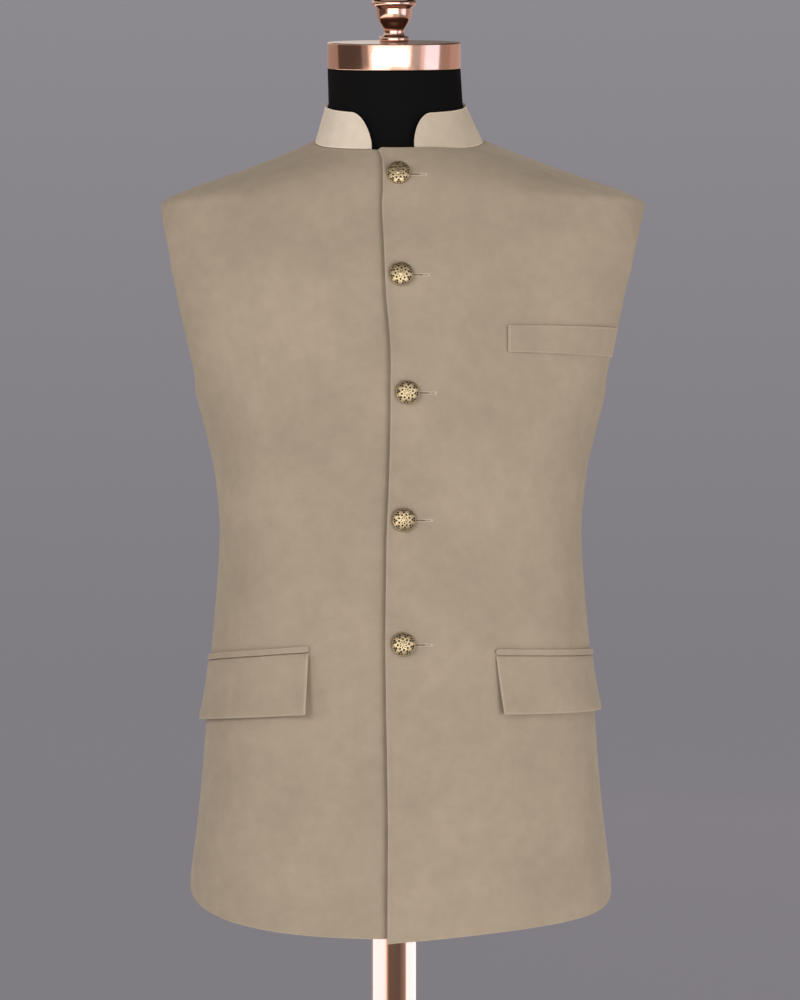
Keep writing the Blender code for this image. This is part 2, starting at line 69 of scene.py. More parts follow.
# Studio
# A seamless grey floor that curves up into a round wall far away, four large soft
# lights, and rings of light and dark cards that only metal reflects.
FLOOR_COLOUR = "C6C1CA"
FLOOR_FLAT_RADIUS = 10.0
WALL_RADIUS = 14.0
WALL_HEIGHT = 12.0
WORLD_FROM_BELOW = 0.64
WORLD_FROM_ABOVE = 0.32
CARD_RADIUS = 7.0
POLE_CARD_RADIUS = 0.60
POLE_CARD_TOP = 0.50
POLE_CARD_FADE = (0.14, 0.30)
CARD_FOOT_STRENGTH = 0.45
CARD_STEPS = 144


def linear(colour, alpha=1.0):
    """A colour given as six hex digits, as linear light."""
    parts = [int(colour[i:i + 2], 16) / 255 for i in (0, 2, 4)]
    light = [part / 12.92 if part <= 0.04045 else ((part + 0.055) / 1.055) ** 2.4
             for part in parts]
    return (*light, alpha)


def add_node(material, kind, settings=(), links=(), last=False):
    """Adds a node. settings set its properties or the values of its inputs. links
    join inputs to other nodes: to the first output, or to the one named after it.
    The last node is the material's surface."""
    node = material.node_tree.nodes.new("ShaderNode" + kind)
    for name, value in dict(settings).items():
        if isinstance(name, int) or name in node.inputs:
            node.inputs[name].default_value = value
        else:
            setattr(node, name, value)
    for name, source in dict(links).items():
        source, output = source if isinstance(source, tuple) else (source, 0)
        material.node_tree.links.new(source.outputs[output], node.inputs[name])
    if last:
        add_node(material, "OutputMaterial", links={"Surface": node})
    return node


def new_material(name):
    material = bpy.data.materials.new(name)
    material.use_nodes = True
    material.node_tree.nodes.clear()
    return material


def name_new_piece(name):
    """Names the object that an operator has just added."""
    piece = bpy.context.object
    piece.name = name
    piece.data.name = name
    return piece


def select_only(*pieces):
    """Selects these pieces alone, and makes the first one active."""
    bpy.ops.object.select_all(action="DESELECT")
    for piece in pieces:
        piece.select_set(True)
    bpy.context.view_layer.objects.active = pieces[0]


def turned_mesh(name, profile, steps):
    """A turned body about Z from a profile of radius and height, spun and closed."""
    mesh = bpy.data.meshes.new(name)
    mesh.from_pydata([(radius, 0, height) for radius, height in profile],
                     [(i, i + 1) for i in range(len(profile) - 1)], [])
    piece = add_object(name, mesh)
    select_only(piece)
    bpy.ops.object.mode_set(mode="EDIT")
    bpy.ops.mesh.select_all(action="SELECT")
    bpy.ops.mesh.spin(steps=steps, angle=2 * math.pi, center=(0, 0, 0), axis=(0, 0, 1))
    bpy.ops.mesh.select_all(action="SELECT")
    bpy.ops.mesh.remove_doubles(threshold=0.00001)
    bpy.ops.mesh.normals_make_consistent(inside=False)
    bpy.ops.object.mode_set(mode="OBJECT")
    return piece


def smooth(piece, angle=35):
    select_only(piece)
    bpy.ops.object.shade_smooth_by_angle(angle=math.radians(angle))


# The studio's paper: pale, matt and even
floor_paper = new_material("studio_paper")
add_node(floor_paper, "BsdfPrincipled", {
    "Base Color": linear(FLOOR_COLOUR), "Roughness": 0.9, "Specular IOR Level": 0.1}, last=True)

curve_radius = WALL_RADIUS - FLOOR_FLAT_RADIUS
floor_profile = [(0.0, 0.0), (2.0, 0.0), (5.0, 0.0)] + [
    (FLOOR_FLAT_RADIUS + curve_radius * math.sin(math.radians(step)),
     curve_radius - curve_radius * math.cos(math.radians(step)))
    for step in range(0, 91, 6)] + [(WALL_RADIUS, WALL_HEIGHT)]
studio = turned_mesh("studio_floor", floor_profile, 96)
studio.data.flip_normals()
studio.data.materials.append(floor_paper)
smooth(studio, 60)
studio.visible_diffuse = False
studio.visible_glossy = False
studio.visible_shadow = False

# The air's own light is a little stronger from below than from above
world = bpy.data.worlds.new("studio_air")
world.use_nodes = True
air_side = add_node(world, "TexCoord")
air_height = add_node(world, "SeparateXYZ", links={0: (air_side, "Generated")})
air_strength = add_node(world, "MapRange", {
    "From Min": -1.0, "To Min": WORLD_FROM_BELOW, "To Max": WORLD_FROM_ABOVE},
    {"Value": (air_height, "Z")})
world.node_tree.links.new(air_strength.outputs[0],
                          world.node_tree.nodes["Background"].inputs["Strength"])
world.node_tree.nodes["Background"].inputs["Color"].default_value = (1, 1, 1, 1)
bpy.context.scene.world = world


def table(row_type, *rows):
    """A table with named columns, from plain rows."""
    return [row_type(*row) for row in rows]


# A card reaches to its end, an azimuth in degrees, from the end of the one before:
# 0 is towards the camera, and more is towards the wearer's left.
Card = namedtuple("Card", "end colour strength")
CARDS = table(
    Card,
    (-112, "FFE4D8", 0.40),
    (-58, "A08E84", 0.25),
    (-46, "E0CFC4", 0.42),
    (-38, "F4E8E0", 1.30),
    (26, "FFFFFF", 6.50),
    (31, "FFF4EE", 1.80),
    (48, "E2E0E2", 0.72),
    (54, "F4E6E6", 1.10),
    (86, "DCE8FF", 1.93),
    (112, "F0D6C8", 0.46),
    (180, "FFE4D8", 0.52),
)
DIM_STRENGTH = 1.80
DIM_CARDS = [card._replace(strength=min(card.strength, DIM_STRENGTH)) for card in CARDS]
LOWEST_CARDS = table(
    Card,
    (-8, "FFF8EE", 1.70),
    (40, "F0E6DC", 0.80),
    (180, "D8CCC0", 0.50),
)
HIGHEST_CARDS = table(
    Card,
    (-20, "F4EEE6", 0.75),
    (30, "E6DED6", 0.50),
    (180, "CCC0B6", 0.30),
)
DARK_CARDS = table(Card, (180, "8C7468", 0.14))
CARD_RINGS = (
    (-12.0, -4.0, DARK_CARDS),
    (-4.0, -0.9, LOWEST_CARDS),
    (-0.9, 0.35, CARDS),
    (0.35, 2.50, DIM_CARDS),
    (2.50, 5.00, HIGHEST_CARDS),
    (5.00, 12.0, DARK_CARDS),
)
POLE_CARDS = table(
    Card,
    (-138, "F4E4DC", 0.50),
    (-46, "DCEBFF", 2.10),
    (-38, "FFF0E8", 1.50),
    (-30, "E8C8BC", 0.70),
    (32, "B4A29A", 0.25),
    (46, "C8B8AE", 0.34),
    (60, "D4C4BA", 0.46),
    (66, "F0E4DC", 1.10),
    (150, "DCEBFF", 2.20),
    (180, "F4E4DC", 0.50),
)


def card_ring(name, ring_cards, radius, bottom, top, fade=None):
    """A ring of cards round the stand that is seen only in polished metal. fade gives
    the heights between which its light rises from that of its foot."""
    bpy.ops.object.select_all(action="DESELECT")
    bpy.ops.mesh.primitive_cylinder_add(
        vertices=CARD_STEPS, radius=radius, depth=top - bottom,
        end_fill_type="NOTHING", location=(0, 0, (top + bottom) / 2))
    ring = name_new_piece(name)
    bpy.ops.object.transform_apply(location=True, rotation=True, scale=True)
    for number, card in enumerate(ring_cards):
        glow_paper = new_material(f"{name}_{number}")
        glow = add_node(glow_paper, "Emission", {
            "Color": linear(card.colour), "Strength": card.strength}, last=True)
        if fade:
            place = add_node(glow_paper, "TexCoord")
            height = add_node(glow_paper, "SeparateXYZ", links={0: (place, "Object")})
            rising = add_node(glow_paper, "MapRange", {
                "From Min": fade[0], "From Max": fade[1],
                "To Min": CARD_FOOT_STRENGTH, "To Max": card.strength},
                {"Value": (height, "Z")})
            glow_paper.node_tree.links.new(rising.outputs[0], glow.inputs["Strength"])
        ring.data.materials.append(glow_paper)
    for face in ring.data.polygons:
        azimuth = math.degrees(math.atan2(face.center.x, -face.center.y))
        face.material_index = sum(azimuth >= card.end for card in ring_cards[:-1])
    ring.visible_camera = False
    ring.visible_diffuse = False
    ring.visible_shadow = False
    ring.visible_transmission = False


for number, (bottom, top, ring_cards) in enumerate(CARD_RINGS):
    card_ring(f"studio_cards_{number}", ring_cards, CARD_RADIUS, bottom, top)
card_ring("studio_pole_cards", POLE_CARDS, POLE_CARD_RADIUS, 0.0, POLE_CARD_TOP, POLE_CARD_FADE)

# Soft lights, with their size in metres and their power in watts
Light = namedtuple("Light", "name place aim size power")
LIGHTS = table(
    Light,
    ("key", (-1.9, -3.3, 2.20), (0, 0, 0.68), 1.3, 43.0),
    ("fill", (2.4, -3.5, 0.50), (0, 0, 0.50), 2.2, 80.0),
    ("side", (-4.2, -1.9, 1.20), (0, 0, 0.60), 1.2, 27.0),
    ("back", (0.6, 3.4, 2.8), (0, 0, 1.0), 2.2, 40.0),
)
unlit = bpy.data.collections.new("not_lit_by_lamps")
unlit.objects.link(studio)
unlit.collection_objects[0].light_linking.link_state = "EXCLUDE"
for light in LIGHTS:
    lamp_data = bpy.data.lights.new(light.name, "AREA")
    lamp_data.shape = "SQUARE"
    lamp_data.size = light.size
    lamp_data.energy = light.power
    lamp = add_object(light.name, lamp_data)
    lamp.location = light.place
    aim = Vector(light.aim) - Vector(light.place)
    lamp.rotation_euler = aim.to_track_quat("-Z", "Y").to_euler()
    lamp.visible_glossy = False
    lamp.light_linking.receiver_collection = unlit

bpy.context.scene.view_settings.view_transform = "Standard"

# Stand base and pole
# A round steel plate with a turned boss in its middle, and a steel tube that
# stands in the boss and carries the form. Both are plated in polished rose gold.
BASE_RADIUS = 0.1750
BASE_THICK = 0.0100
BASE_BEVEL = 0.0015
BOSS_RADIUS = 0.0360
BOSS_HEIGHT = 0.0260
BOSS_ROUND = 0.0060
BOSS_FILLET = 0.0040
POLE_RADIUS = 0.0210
STAND_GAP = 0.0003
FORM_BOTTOM = 0.5800
ROSE_GOLD_COLOUR = "E9BEAA"
ROSE_GOLD_ROUGHNESS = 0.10
BRUSH_ROUGHNESS = 0.16


def arc_profile(middle_radius, middle_height, across, up, start, end, count):
    """Points of a round stretch of a profile, from one angle in degrees to another."""
    angles = [math.radians(start + (end - start) * i / count) for i in range(count + 1)]
    return [(middle_radius + across * math.cos(a), middle_height + up * math.sin(a))
            for a in angles]


def hand_over(piece, material, slot, *nodes):
    """Gives a finished piece its material and the nodes it stands for. Its slot is not used."""
    piece.data.materials.clear()
    piece.data.materials.append(material)
    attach(piece, "root")
    if nodes:
        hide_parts(*nodes)


# Polished rose gold plating, with the faint lines of its last polish
rose_gold = new_material("rose_gold_plating")
gold_place = add_node(rose_gold, "TexCoord")
gold_lines = add_node(rose_gold, "Mapping", {"Scale": (40, 40, 2600)},
                      {"Vector": (gold_place, "Object")})
gold_noise = add_node(rose_gold, "TexNoise", {"Scale": 1.0, "Detail": 2.0}, {"Vector": gold_lines})
gold_rough = add_node(rose_gold, "MapRange", {
    "From Min": 0.3, "From Max": 0.7, "To Min": ROSE_GOLD_ROUGHNESS, "To Max": BRUSH_ROUGHNESS},
    {"Value": gold_noise})
add_node(rose_gold, "BsdfPrincipled", {"Base Color": linear(ROSE_GOLD_COLOUR), "Metallic": 1.0},
         {"Roughness": gold_rough}, last=True)

base = turned_mesh("base_plate", [
    (0.0, BOSS_HEIGHT), (BOSS_RADIUS - BOSS_ROUND, BOSS_HEIGHT),
    *arc_profile(BOSS_RADIUS - BOSS_ROUND, BOSS_HEIGHT - BOSS_ROUND,
                 BOSS_ROUND, BOSS_ROUND, 80, 0, 8),
    *arc_profile(BOSS_RADIUS + BOSS_FILLET, BASE_THICK + BOSS_FILLET,
                 BOSS_FILLET, BOSS_FILLET, 180, 270, 6),
    (BASE_RADIUS - BASE_BEVEL, BASE_THICK),
    *arc_profile(BASE_RADIUS - BASE_BEVEL, BASE_THICK - BASE_BEVEL,
                 BASE_BEVEL, BASE_BEVEL, 75, 0, 4),
    (BASE_RADIUS, BASE_BEVEL), (BASE_RADIUS - BASE_BEVEL, 0.0), (0.0, 0.0)], 128)
smooth(base)
hand_over(base, rose_gold, "rose_gold", "stand_base")

pole = turned_mesh("pole_tube", [
    (0.0, FORM_BOTTOM - STAND_GAP), (POLE_RADIUS, FORM_BOTTOM - STAND_GAP),
    (POLE_RADIUS, BOSS_HEIGHT + STAND_GAP), (0.0, BOSS_HEIGHT + STAND_GAP)], 96)
smooth(pole)
hand_over(pole, rose_gold, "rose_gold", "stand_pole")

# Dress form
# A padded torso and neck with no limbs, covered in black cotton jersey pulled
# smooth. Above its shoulder tips it follows the inside of the jacket.
CLOTH = 0.0020
SEAM_GAP = 0.0003
FORM_GAP = 0.0011
BODY_SHIFT = 0.0062
FORM_COLUMNS = 112
FORM_FINE_STEPS = 6
FORM_ROWS = 102
JERSEY_COLOUR = "0E0D0D"

Section = namedtuple("Section", "height half_width front back fullness dip rise shift",
                     defaults=(0.0, 0.0, BODY_SHIFT))


def in_metres(row_type, plain, *rows):
    """A table in metres, from rows in millimetres but for the plain column."""
    return [row_type(*(value if name == plain else value / 1000
                       for name, value in zip(row_type._fields, row))) for row in rows]


# Sections of the jacket's outer surface in millimetres, from hem to neck. A fullness
# of 2 is an ellipse and more is squarer, and a ring dips in front and rises behind.
BODY_SECTIONS = in_metres(
    Section, "fullness",
    (500, 198.5, 128, 132, 2.35),
    (547.5, 196.5, 127, 131, 2.35),
    (604, 190, 125, 130, 2.35),
    (660, 184.7, 122.5, 126, 2.35),
    (717, 181, 120, 118, 2.35),
    (773, 176.3, 118, 108, 2.35),
    (829.5, 171.6, 116, 99, 2.35),
    (872, 169.7, 115, 96, 2.35),
    (928, 174.8, 118, 100, 2.4),
    (956, 181, 120, 105, 2.45),
    (995, 190.8, 123, 112, 2.6),
    (1014, 195.3, 123.5, 115, 2.7),
    (1032, 203, 123.5, 117, 2.8),
    (1058, 212.8, 122.5, 119, 2.9),
    (1090, 222, 120, 120, 2.9),
    (1120, 227.8, 116, 118.5, 2.9, 0.1, 0.2, 7),
    (1145, 228.4, 110, 115.5, 2.8, 0.8, 1.6, 7.4),
    (1179, 226.6, 101, 108, 2.45, 3, 6, 8.3),
    (1182, 222.9, 100.3, 107.2, 2.43, 3.4, 6.5, 8.8),
    (1191.4, 202.7, 97.5, 103.5, 2.35, 5, 9, 8.6),
    (1210.2, 149.6, 90.5, 92.5, 2.2, 9, 15, 8),
    (1229, 98.1, 80.5, 77, 2.05, 13, 22, 6.2),
    (1236.6, 78.8, 76, 70, 2, 15, 25, 4.7),
)
HEM_LEVEL = BODY_SECTIONS[0].height
NECK_LEVEL = BODY_SECTIONS[-1].height
LEVEL_STEP = 0.002
TURN_STEP = 0.01
FORM_SECTIONS = in_metres(
    Section, "fullness",
    (580, 166, 98, 108, 2.3),
    (586, 176, 107, 117, 2.3),
    (604, 179, 110, 120, 2.3),
    (660, 175.5, 108, 116, 2.3),
    (717, 171.5, 106, 108, 2.3),
    (773, 165.5, 104, 98, 2.3),
    (829.5, 158.5, 102, 89, 2.3),
    (872, 157, 101, 86, 2.3),
    (928, 164, 106, 91, 2.35),
    (994, 180, 112, 102, 2.5),
    (1045, 189.5, 115.5, 110, 2.6),
    (1100, 201, 112, 113, 2.6),
    (1145, 211, 104.5, 109.5, 2.55, 0.5, 1, 7.2),
    (1166, 215.5, 99.5, 106, 2.5, 1.5, 3, 8),
    (1176, 217.5, 97.5, 104, 2.4, 2.5, 4.5, 8.4),
)
NECK_SECTIONS = in_metres(
    Section, "fullness",
    (1238, 69.5, 67.5, 62.5, 2, 15, 23, 4),
    (1245, 65.5, 65.5, 62.2, 2, 14, 20, 3),
    (1260, 63.4, 63.5, 62, 2, 12.5, 15, 2),
    (1276, 63, 63, 62, 2, 11.5, 12.5, 1.3),
)
FORM_SHOULDER_ROWS = (1.1840, 1.1914, 1.2020, 1.2130, 1.2250, 1.2340)
NECK_LEAN = math.radians(10)
NECK_RADIUS = 0.0625
CAP_BOTTOM = 1.3056


def smooth_step(t, rise, start, end):
    """A cubic from 0 to a rise, with these slopes at its start and end."""
    return t * (start + t * (3 * rise - 2 * start - end + t * (start + end - 2 * rise)))


class Curve:
    """One column of a table, read at any heights without swinging past its values."""

    def __init__(self, table, column):
        self.heights = np.array([row.height for row in table])
        self.values = np.array([getattr(row, column) for row in table])
        steps = np.diff(self.values) / np.diff(self.heights)
        self.slopes = np.zeros(len(table))
        self.slopes[0], self.slopes[-1] = steps[0], steps[-1]
        for i, (below, above) in enumerate(zip(steps, steps[1:]), start=1):
            if below * above > 0:
                self.slopes[i] = 2 * below * above / (below + above)

    def at(self, height):
        height = np.clip(height, self.heights[0], self.heights[-1])
        i = np.clip(np.searchsorted(self.heights, height) - 1, 0, len(self.heights) - 2)
        span = self.heights[i + 1] - self.heights[i]
        t = (height - self.heights[i]) / span
        rise = self.values[i + 1] - self.values[i]
        start, end = self.slopes[i] * span, self.slopes[i + 1] * span
        return self.values[i] + smooth_step(t, rise, start, end)


BODY = {column: Curve(BODY_SECTIONS, column) for column in Section._fields if column != "height"}


def section_at(level):
    return Section(level, **{column: curve.at(level) for column, curve in BODY.items()})


def signed_power(value, power):
    return np.sign(value) * np.abs(value) ** power


def ring_points(section, turn):
    """Points of a section at some turns, as an array."""
    power = 2 / section.fullness
    front, back = section.front, section.back
    depth = np.where(np.cos(turn) > 0, front, back)
    across = section.half_width * signed_power(np.sin(turn), power)
    along = -depth * signed_power(np.cos(turn), power)
    cup = (section.rise * front - section.dip * back) / (front * back * (front + back))
    lean = section.dip / front + cup * front
    height = section.height + lean * along + cup * along * along
    return np.stack(np.broadcast_arrays(section.shift + across, along, height), axis=-1)


def body_points(level, turn):
    return ring_points(section_at(level), turn)


def body_normals(level, turn):
    """Outward directions of the jacket's surface."""
    above = np.minimum(level + LEVEL_STEP, NECK_LEVEL)
    below = np.maximum(level - LEVEL_STEP, HEM_LEVEL)
    up = body_points(above, turn) - body_points(below, turn)
    around = body_points(level, turn + TURN_STEP) - body_points(level, turn - TURN_STEP)
    normals = np.cross(around, up)
    return normals / np.linalg.norm(normals, axis=-1, keepdims=True)


def spaced_turns(points_at, start, end, shares):
    """Turns at these shares of the way along a ring between two turns."""
    fine = np.linspace(start, end, 121)
    steps = np.linalg.norm(np.diff(points_at(fine), axis=0), axis=1)
    walked = np.concatenate([[0.0], np.cumsum(steps)])
    return np.interp(np.asarray(shares) * walked[-1], walked, fine)


def set_points(piece, points):
    piece.data.vertices.foreach_set("co", np.ascontiguousarray(points, dtype=np.float32).ravel())
    piece.data.update()


def read_points(piece):
    flat = np.empty(len(piece.data.vertices) * 3, dtype=np.float32)
    piece.data.vertices.foreach_get("co", flat)
    return flat.reshape(-1, 3).astype(float)


def grid_piece(name, points, inside_out=False, highlighted_edges=("bottom", "top", "start", "end")):
    """A sheet through rows and columns of points, from a flat grid. The folded edges named
    in its last argument are marked for a painted highlight, which the velvet paints lighter."""
    rows, columns = len(points) - 1, len(points[0]) - 1
    bpy.ops.object.select_all(action="DESELECT")
    bpy.ops.mesh.primitive_grid_add(x_subdivisions=columns, y_subdivisions=rows, size=2)
    piece = name_new_piece(name)
    start = read_points(piece)
    column = np.rint((start[:, 0] + 1) / 2 * columns).astype(int)
    row = np.rint((start[:, 1] + 1) / 2 * rows).astype(int)
    set_points(piece, points[row, column])
    on_edge = {"bottom": row == 0, "top": row == rows,
               "start": column == 0, "end": column == columns}
    highlight_here = sum(on_edge[side] for side in highlighted_edges) > 0
    # Painted highlight: 1 on the folded edges, which the velvet paints lighter
    attribute = piece.data.attributes.new("painted_edge_highlight", "FLOAT", "POINT")
    attribute.data.foreach_set("value", highlight_here.astype(np.float32))
    if inside_out:
        piece.data.flip_normals()
    return piece


def closed_body(name, rings):
    """A body through rings of points: a sheet rolled up, joined and closed."""
    piece = grid_piece(name, np.concatenate([rings, rings[:, :1]], axis=1))
    bpy.ops.object.mode_set(mode="EDIT")
    bpy.ops.mesh.select_all(action="SELECT")
    bpy.ops.mesh.remove_doubles(threshold=0.00001)
    bpy.ops.mesh.fill_holes(sides=0)
    bpy.ops.mesh.select_all(action="SELECT")
    bpy.ops.mesh.normals_make_consistent(inside=False)
    bpy.ops.object.mode_set(mode="OBJECT")
    return piece


def between_rings(rings, steps):
    """Adds rings on a smooth curve through the given ones."""
    walked = np.concatenate([[0.0], np.cumsum(
        np.linalg.norm(np.diff(rings, axis=0), axis=2).mean(axis=1))])
    slopes = np.gradient(rings, walked, axis=0)
    made = []
    for i in range(len(rings) - 1):
        span = walked[i + 1] - walked[i]
        start, end = slopes[i] * span, slopes[i + 1] * span
        for t in np.arange(steps) / steps:
            made.append(rings[i] + smooth_step(t, rings[i + 1] - rings[i], start, end))
    made.append(rings[-1])
    return np.array(made)


def form_ring(points_at):
    shares = np.arange(FORM_COLUMNS) / FORM_COLUMNS
    return points_at(spaced_turns(points_at, 0, 2 * math.pi, shares))


# Black jersey: matt, with the fine wales of the knit
jersey = new_material("black_jersey")
jersey_place = add_node(jersey, "TexCoord")
jersey_wales = add_node(jersey, "Mapping", {"Scale": (1500, 1500, 500)},
                        {"Vector": (jersey_place, "Object")})
jersey_knit = add_node(jersey, "TexNoise", {"Scale": 1.0, "Detail": 2.0}, {"Vector": jersey_wales})
jersey_bump = add_node(jersey, "Bump", {"Strength": 0.3, "Distance": 0.0004},
                       {"Height": jersey_knit})
add_node(jersey, "BsdfPrincipled", {
    "Base Color": linear(JERSEY_COLOUR), "Roughness": 0.85, "Specular IOR Level": 0.06},
    {"Normal": jersey_bump}, last=True)

form_rings = [form_ring(lambda turn, s=section: ring_points(s, turn)) for section in FORM_SECTIONS]
for row_level in FORM_SHOULDER_ROWS:
    form_rings.append(form_ring(lambda turn, level=row_level: (
        body_points(level, turn) - body_normals(level, turn) * (CLOTH + FORM_GAP))))
form_rings += [form_ring(lambda turn, s=section: ring_points(s, turn)) for section in NECK_SECTIONS]
neck_tip = NECK_RADIUS * math.tan(NECK_LEAN)
neck_top = Section(CAP_BOTTOM - SEAM_GAP, NECK_RADIUS, NECK_RADIUS, NECK_RADIUS, 2.0,
                   neck_tip, neck_tip, 0.0)
form_rings.append(form_ring(lambda turn: ring_points(neck_top, turn)))
form_rings = between_rings(np.array(form_rings), FORM_FINE_STEPS)
form_rows = np.rint(np.linspace(0, len(form_rings) - 1, FORM_ROWS)).astype(int)
form = closed_body("form_cover", form_rings[form_rows])
smooth(form, 40)
hand_over(form, jersey, "black_jersey", "dress_form")

# Neck cap
# A spun metal cap that closes the cut neck. It is plated like the stand, and its
# rolled rim sits on the top of the cover.
CAP_RADIUS = 0.0627
CAP_HEIGHT = 0.0246
CAP_BEVEL = 0.0012
CAP_TOP_RIM = 0.0040

cap = turned_mesh("cap_disc", [
    (0.0, CAP_HEIGHT), (CAP_RADIUS - CAP_TOP_RIM, CAP_HEIGHT),
    (CAP_RADIUS - CAP_BEVEL, CAP_HEIGHT),
    *arc_profile(CAP_RADIUS - CAP_BEVEL, CAP_HEIGHT - CAP_BEVEL, CAP_BEVEL, CAP_BEVEL, 75, 0, 5),
    *arc_profile(CAP_RADIUS - CAP_BEVEL, CAP_BEVEL, CAP_BEVEL, CAP_BEVEL, 0, -90, 5),
    (0.0, 0.0)], 128)
neck_axis = Matrix.Rotation(NECK_LEAN, 4, "X")
cap.data.transform(Matrix.Translation((0, 0, CAP_BOTTOM)) @ neck_axis)
smooth(cap)
hand_over(cap, rose_gold, "rose_gold", "neck_cap")

# Finial
# A turned metal knob screwed to the cap: a foot ring, a thin stem, a cup, a broad
# ring and a rounded top, plated like the cap. Its profile is in millimetres.
KNOB_PROFILE = [
    *arc_profile(0, 49, 16.6, 17, 90, 0, 16), (16.6, 42),
    *arc_profile(17.5, 36.2, 3.4, 3.6, 70, -70, 10),
    (16.6, 31), (16.6, 27), (16.3, 24), (15.2, 20.8), (13.5, 18), (11.7, 15.3), (10.4, 13),
    (9.8, 11.2), (9.7, 10), (9.7, 7), (10.4, 5.8), (11.8, 5.4), (13.2, 5.2), (13.8, 4.2),
    (13.8, 1), (13.2, 0), (0, 0)]

finial = turned_mesh("finial_knob", [
    (radius / 1000, height / 1000) for radius, height in KNOB_PROFILE], 96)
finial.data.transform(Matrix.Translation((0, 0, CAP_BOTTOM)) @ neck_axis
                      @ Matrix.Translation((0, 0, CAP_HEIGHT + SEAM_GAP)))
smooth(finial, 40)
hand_over(finial, rose_gold, "rose_gold", "finial")

# Right front
# The wearer's right front panel, in taupe cotton velvet. Its edge runs on under
# the other front, and its turned hem curves up into a rounded corner at the side.
VELVET_COLOUR = "A4937F"
VELVET_SHEEN_COLOUR = "E9DCCB"
VELVET_SHEEN = 0.10
# How much lighter the painted highlight makes the folded edges
EDGE_HIGHLIGHT_PAINT = 1.20
EDGE_ROUND = 0.0007
CLOTH_EDGE_ANGLE = 50
# Half the width across the front over which the collar blends from painted light to painted shade
PAINTED_SHADE_BLEND_WIDTH = 0.04
STITCHED_GAP = 0.00002
HEM_ZONE_TOP = 0.604
HEM_ZONE_SHARES = np.concatenate([
    [0, 0.012, 0.028, 0.050, 0.080], np.linspace(0.115, 0.965, 26)])
HEM_ROLL = 0.0005
HEM_ROLL_WIDTH = 0.0045
HEM_CORNER_POWER = 20
CORNER_LEVEL = 1.215
LEVEL_ZONES = ((HEM_ZONE_TOP, 0.995, 104), (0.995, 1.182, 58), (1.182, NECK_LEVEL, 44))
PANEL_SHARES = np.concatenate([
    [0, 0.0045, 0.009, 0.0135, 0.019, 0.026],
    np.linspace(0.036, 0.88, 60)[:-1], np.linspace(0.88, 1, 22)])
Hem = namedtuple("Hem", "start straight sweep sweep_power corner")
HEMS = {
    "left_front": Hem(0.5004, 0.025, 0.018, 8, 0.010),
    "right_front": Hem(0.5045, 0.000, 0.043, 3, 0.009),
    "back_left": Hem(0.5030, 0.000, 0.041, 3, 0.010),
    "back_right": Hem(0.5030, 0.000, 0.041, 3, 0.010),
}
# How far in millimetres an armhole reaches forward and back of the side line
Armhole = namedtuple("Armhole", "height front back")
ARMHOLE = in_metres(
    Armhole, None,
    (995, 0, 0),
    (1003, 28, 30),
    (1014, 43, 47),
    (1032, 58, 64),
    (1058, 67, 76),
    (1090, 68, 79),
    (1120, 64, 74),
    (1145, 51, 58),
    (1163, 34, 38),
    (1174, 18, 20),
    (1179, 0, 0),
)
ARMHOLE_REACH = {side: Curve(ARMHOLE, side) for side in ("front", "back")}
UNDERLAP_ACROSS = 0.020
LAP_PRESS_ACROSS = -0.008
LAP_PRESS_DEPTH = 0.0018
LAP_PRESS_WIDTH = 0.012
LAP_PRESS_TAIL = 0.020

# Soft troughs (below 0) and ridges (above 0) of the cloth in millimetres: middle,
# degrees from upright, half the length, half the width, depth
Crease = namedtuple("Crease", "across height angle length width depth")
FRONT_CREASES = in_metres(
    Crease, "angle",
    (-150, 1120, 24, 60, 17, -0.7),
    (-118, 1145, 38, 50, 12, 0.5),
    (-95, 1030, 8, 85, 16, -0.6),
    (-128, 985, -14, 60, 14, 0.6),
    (-70, 820, 62, 42, 13, -0.9),
    (-105, 860, 74, 52, 10, 0.6),
    (-50, 905, 12, 70, 15, -0.4),
    (-120, 610, 5, 95, 19, -1),
    (-72, 585, -7, 80, 15, 0.8),
    (-34, 640, 4, 110, 13, -0.6),
    (150, 1125, -26, 55, 16, -0.7),
    (112, 1150, -36, 48, 13, 0.5),
    (118, 975, 18, 70, 15, -0.7),
    (70, 935, -10, 90, 17, 0.5),
    (102, 865, -70, 50, 12, -0.8),
    (55, 840, -58, 38, 10, 0.5),
    (128, 640, -6, 70, 18, -1.1),
    (85, 600, 9, 95, 16, 0.9),
    (45, 650, -4, 120, 14, -0.6),
)
BACK_CREASES = in_metres(
    Crease, "angle",
    (-140, 1110, -22, 62, 17, -0.7),
    (-70, 1020, -10, 95, 18, -0.6),
    (-100, 880, 68, 55, 12, -0.9),
    (-60, 850, 80, 40, 10, 0.6),
    (-118, 620, -4, 100, 20, -1.1),
    (-65, 600, 6, 85, 16, 0.9),
    (138, 1118, 25, 58, 16, -0.7),
    (80, 1000, 8, 80, 16, 0.5),
    (105, 890, -72, 48, 12, -0.8),
    (52, 868, -84, 44, 11, -0.6),
    (122, 635, 5, 88, 18, -1),
    (58, 590, -8, 92, 15, 0.8),
)


def crease_lift(points):
    """How far the cloth stands out from its plain form at some points."""
    lift = np.zeros(points.shape[:-1])
    for creases, here in ((FRONT_CREASES, points[..., 1] < 0), (BACK_CREASES, points[..., 1] >= 0)):
        for crease in creases:
            lean = math.radians(crease.angle)
            aside = points[..., 0] - BODY_SHIFT - crease.across
            above = points[..., 2] - crease.height
            along = above * math.cos(lean) + aside * math.sin(lean)
            away = aside * math.cos(lean) - above * math.sin(lean)
            fade = np.clip(1 - (along / crease.length) ** 2, 0, 1) ** 2
            lift += here * crease.depth * fade * np.exp(-(away / crease.width) ** 2)
    return lift


def turn_at_across(level, across):
    section = section_at(level)
    share = np.minimum(np.abs(across) / section.half_width, 1.0)
    return np.sign(across) * np.arcsin(share ** (section.fullness / 2))


def end_turn(level, side="front"):
    """Where a panel ends, at the side line or its armhole edge, from its own middle."""
    section = section_at(level)
    reach = ARMHOLE_REACH[side].at(level) / getattr(section, side)
    return np.arccos(reach ** (section.fullness / 2))


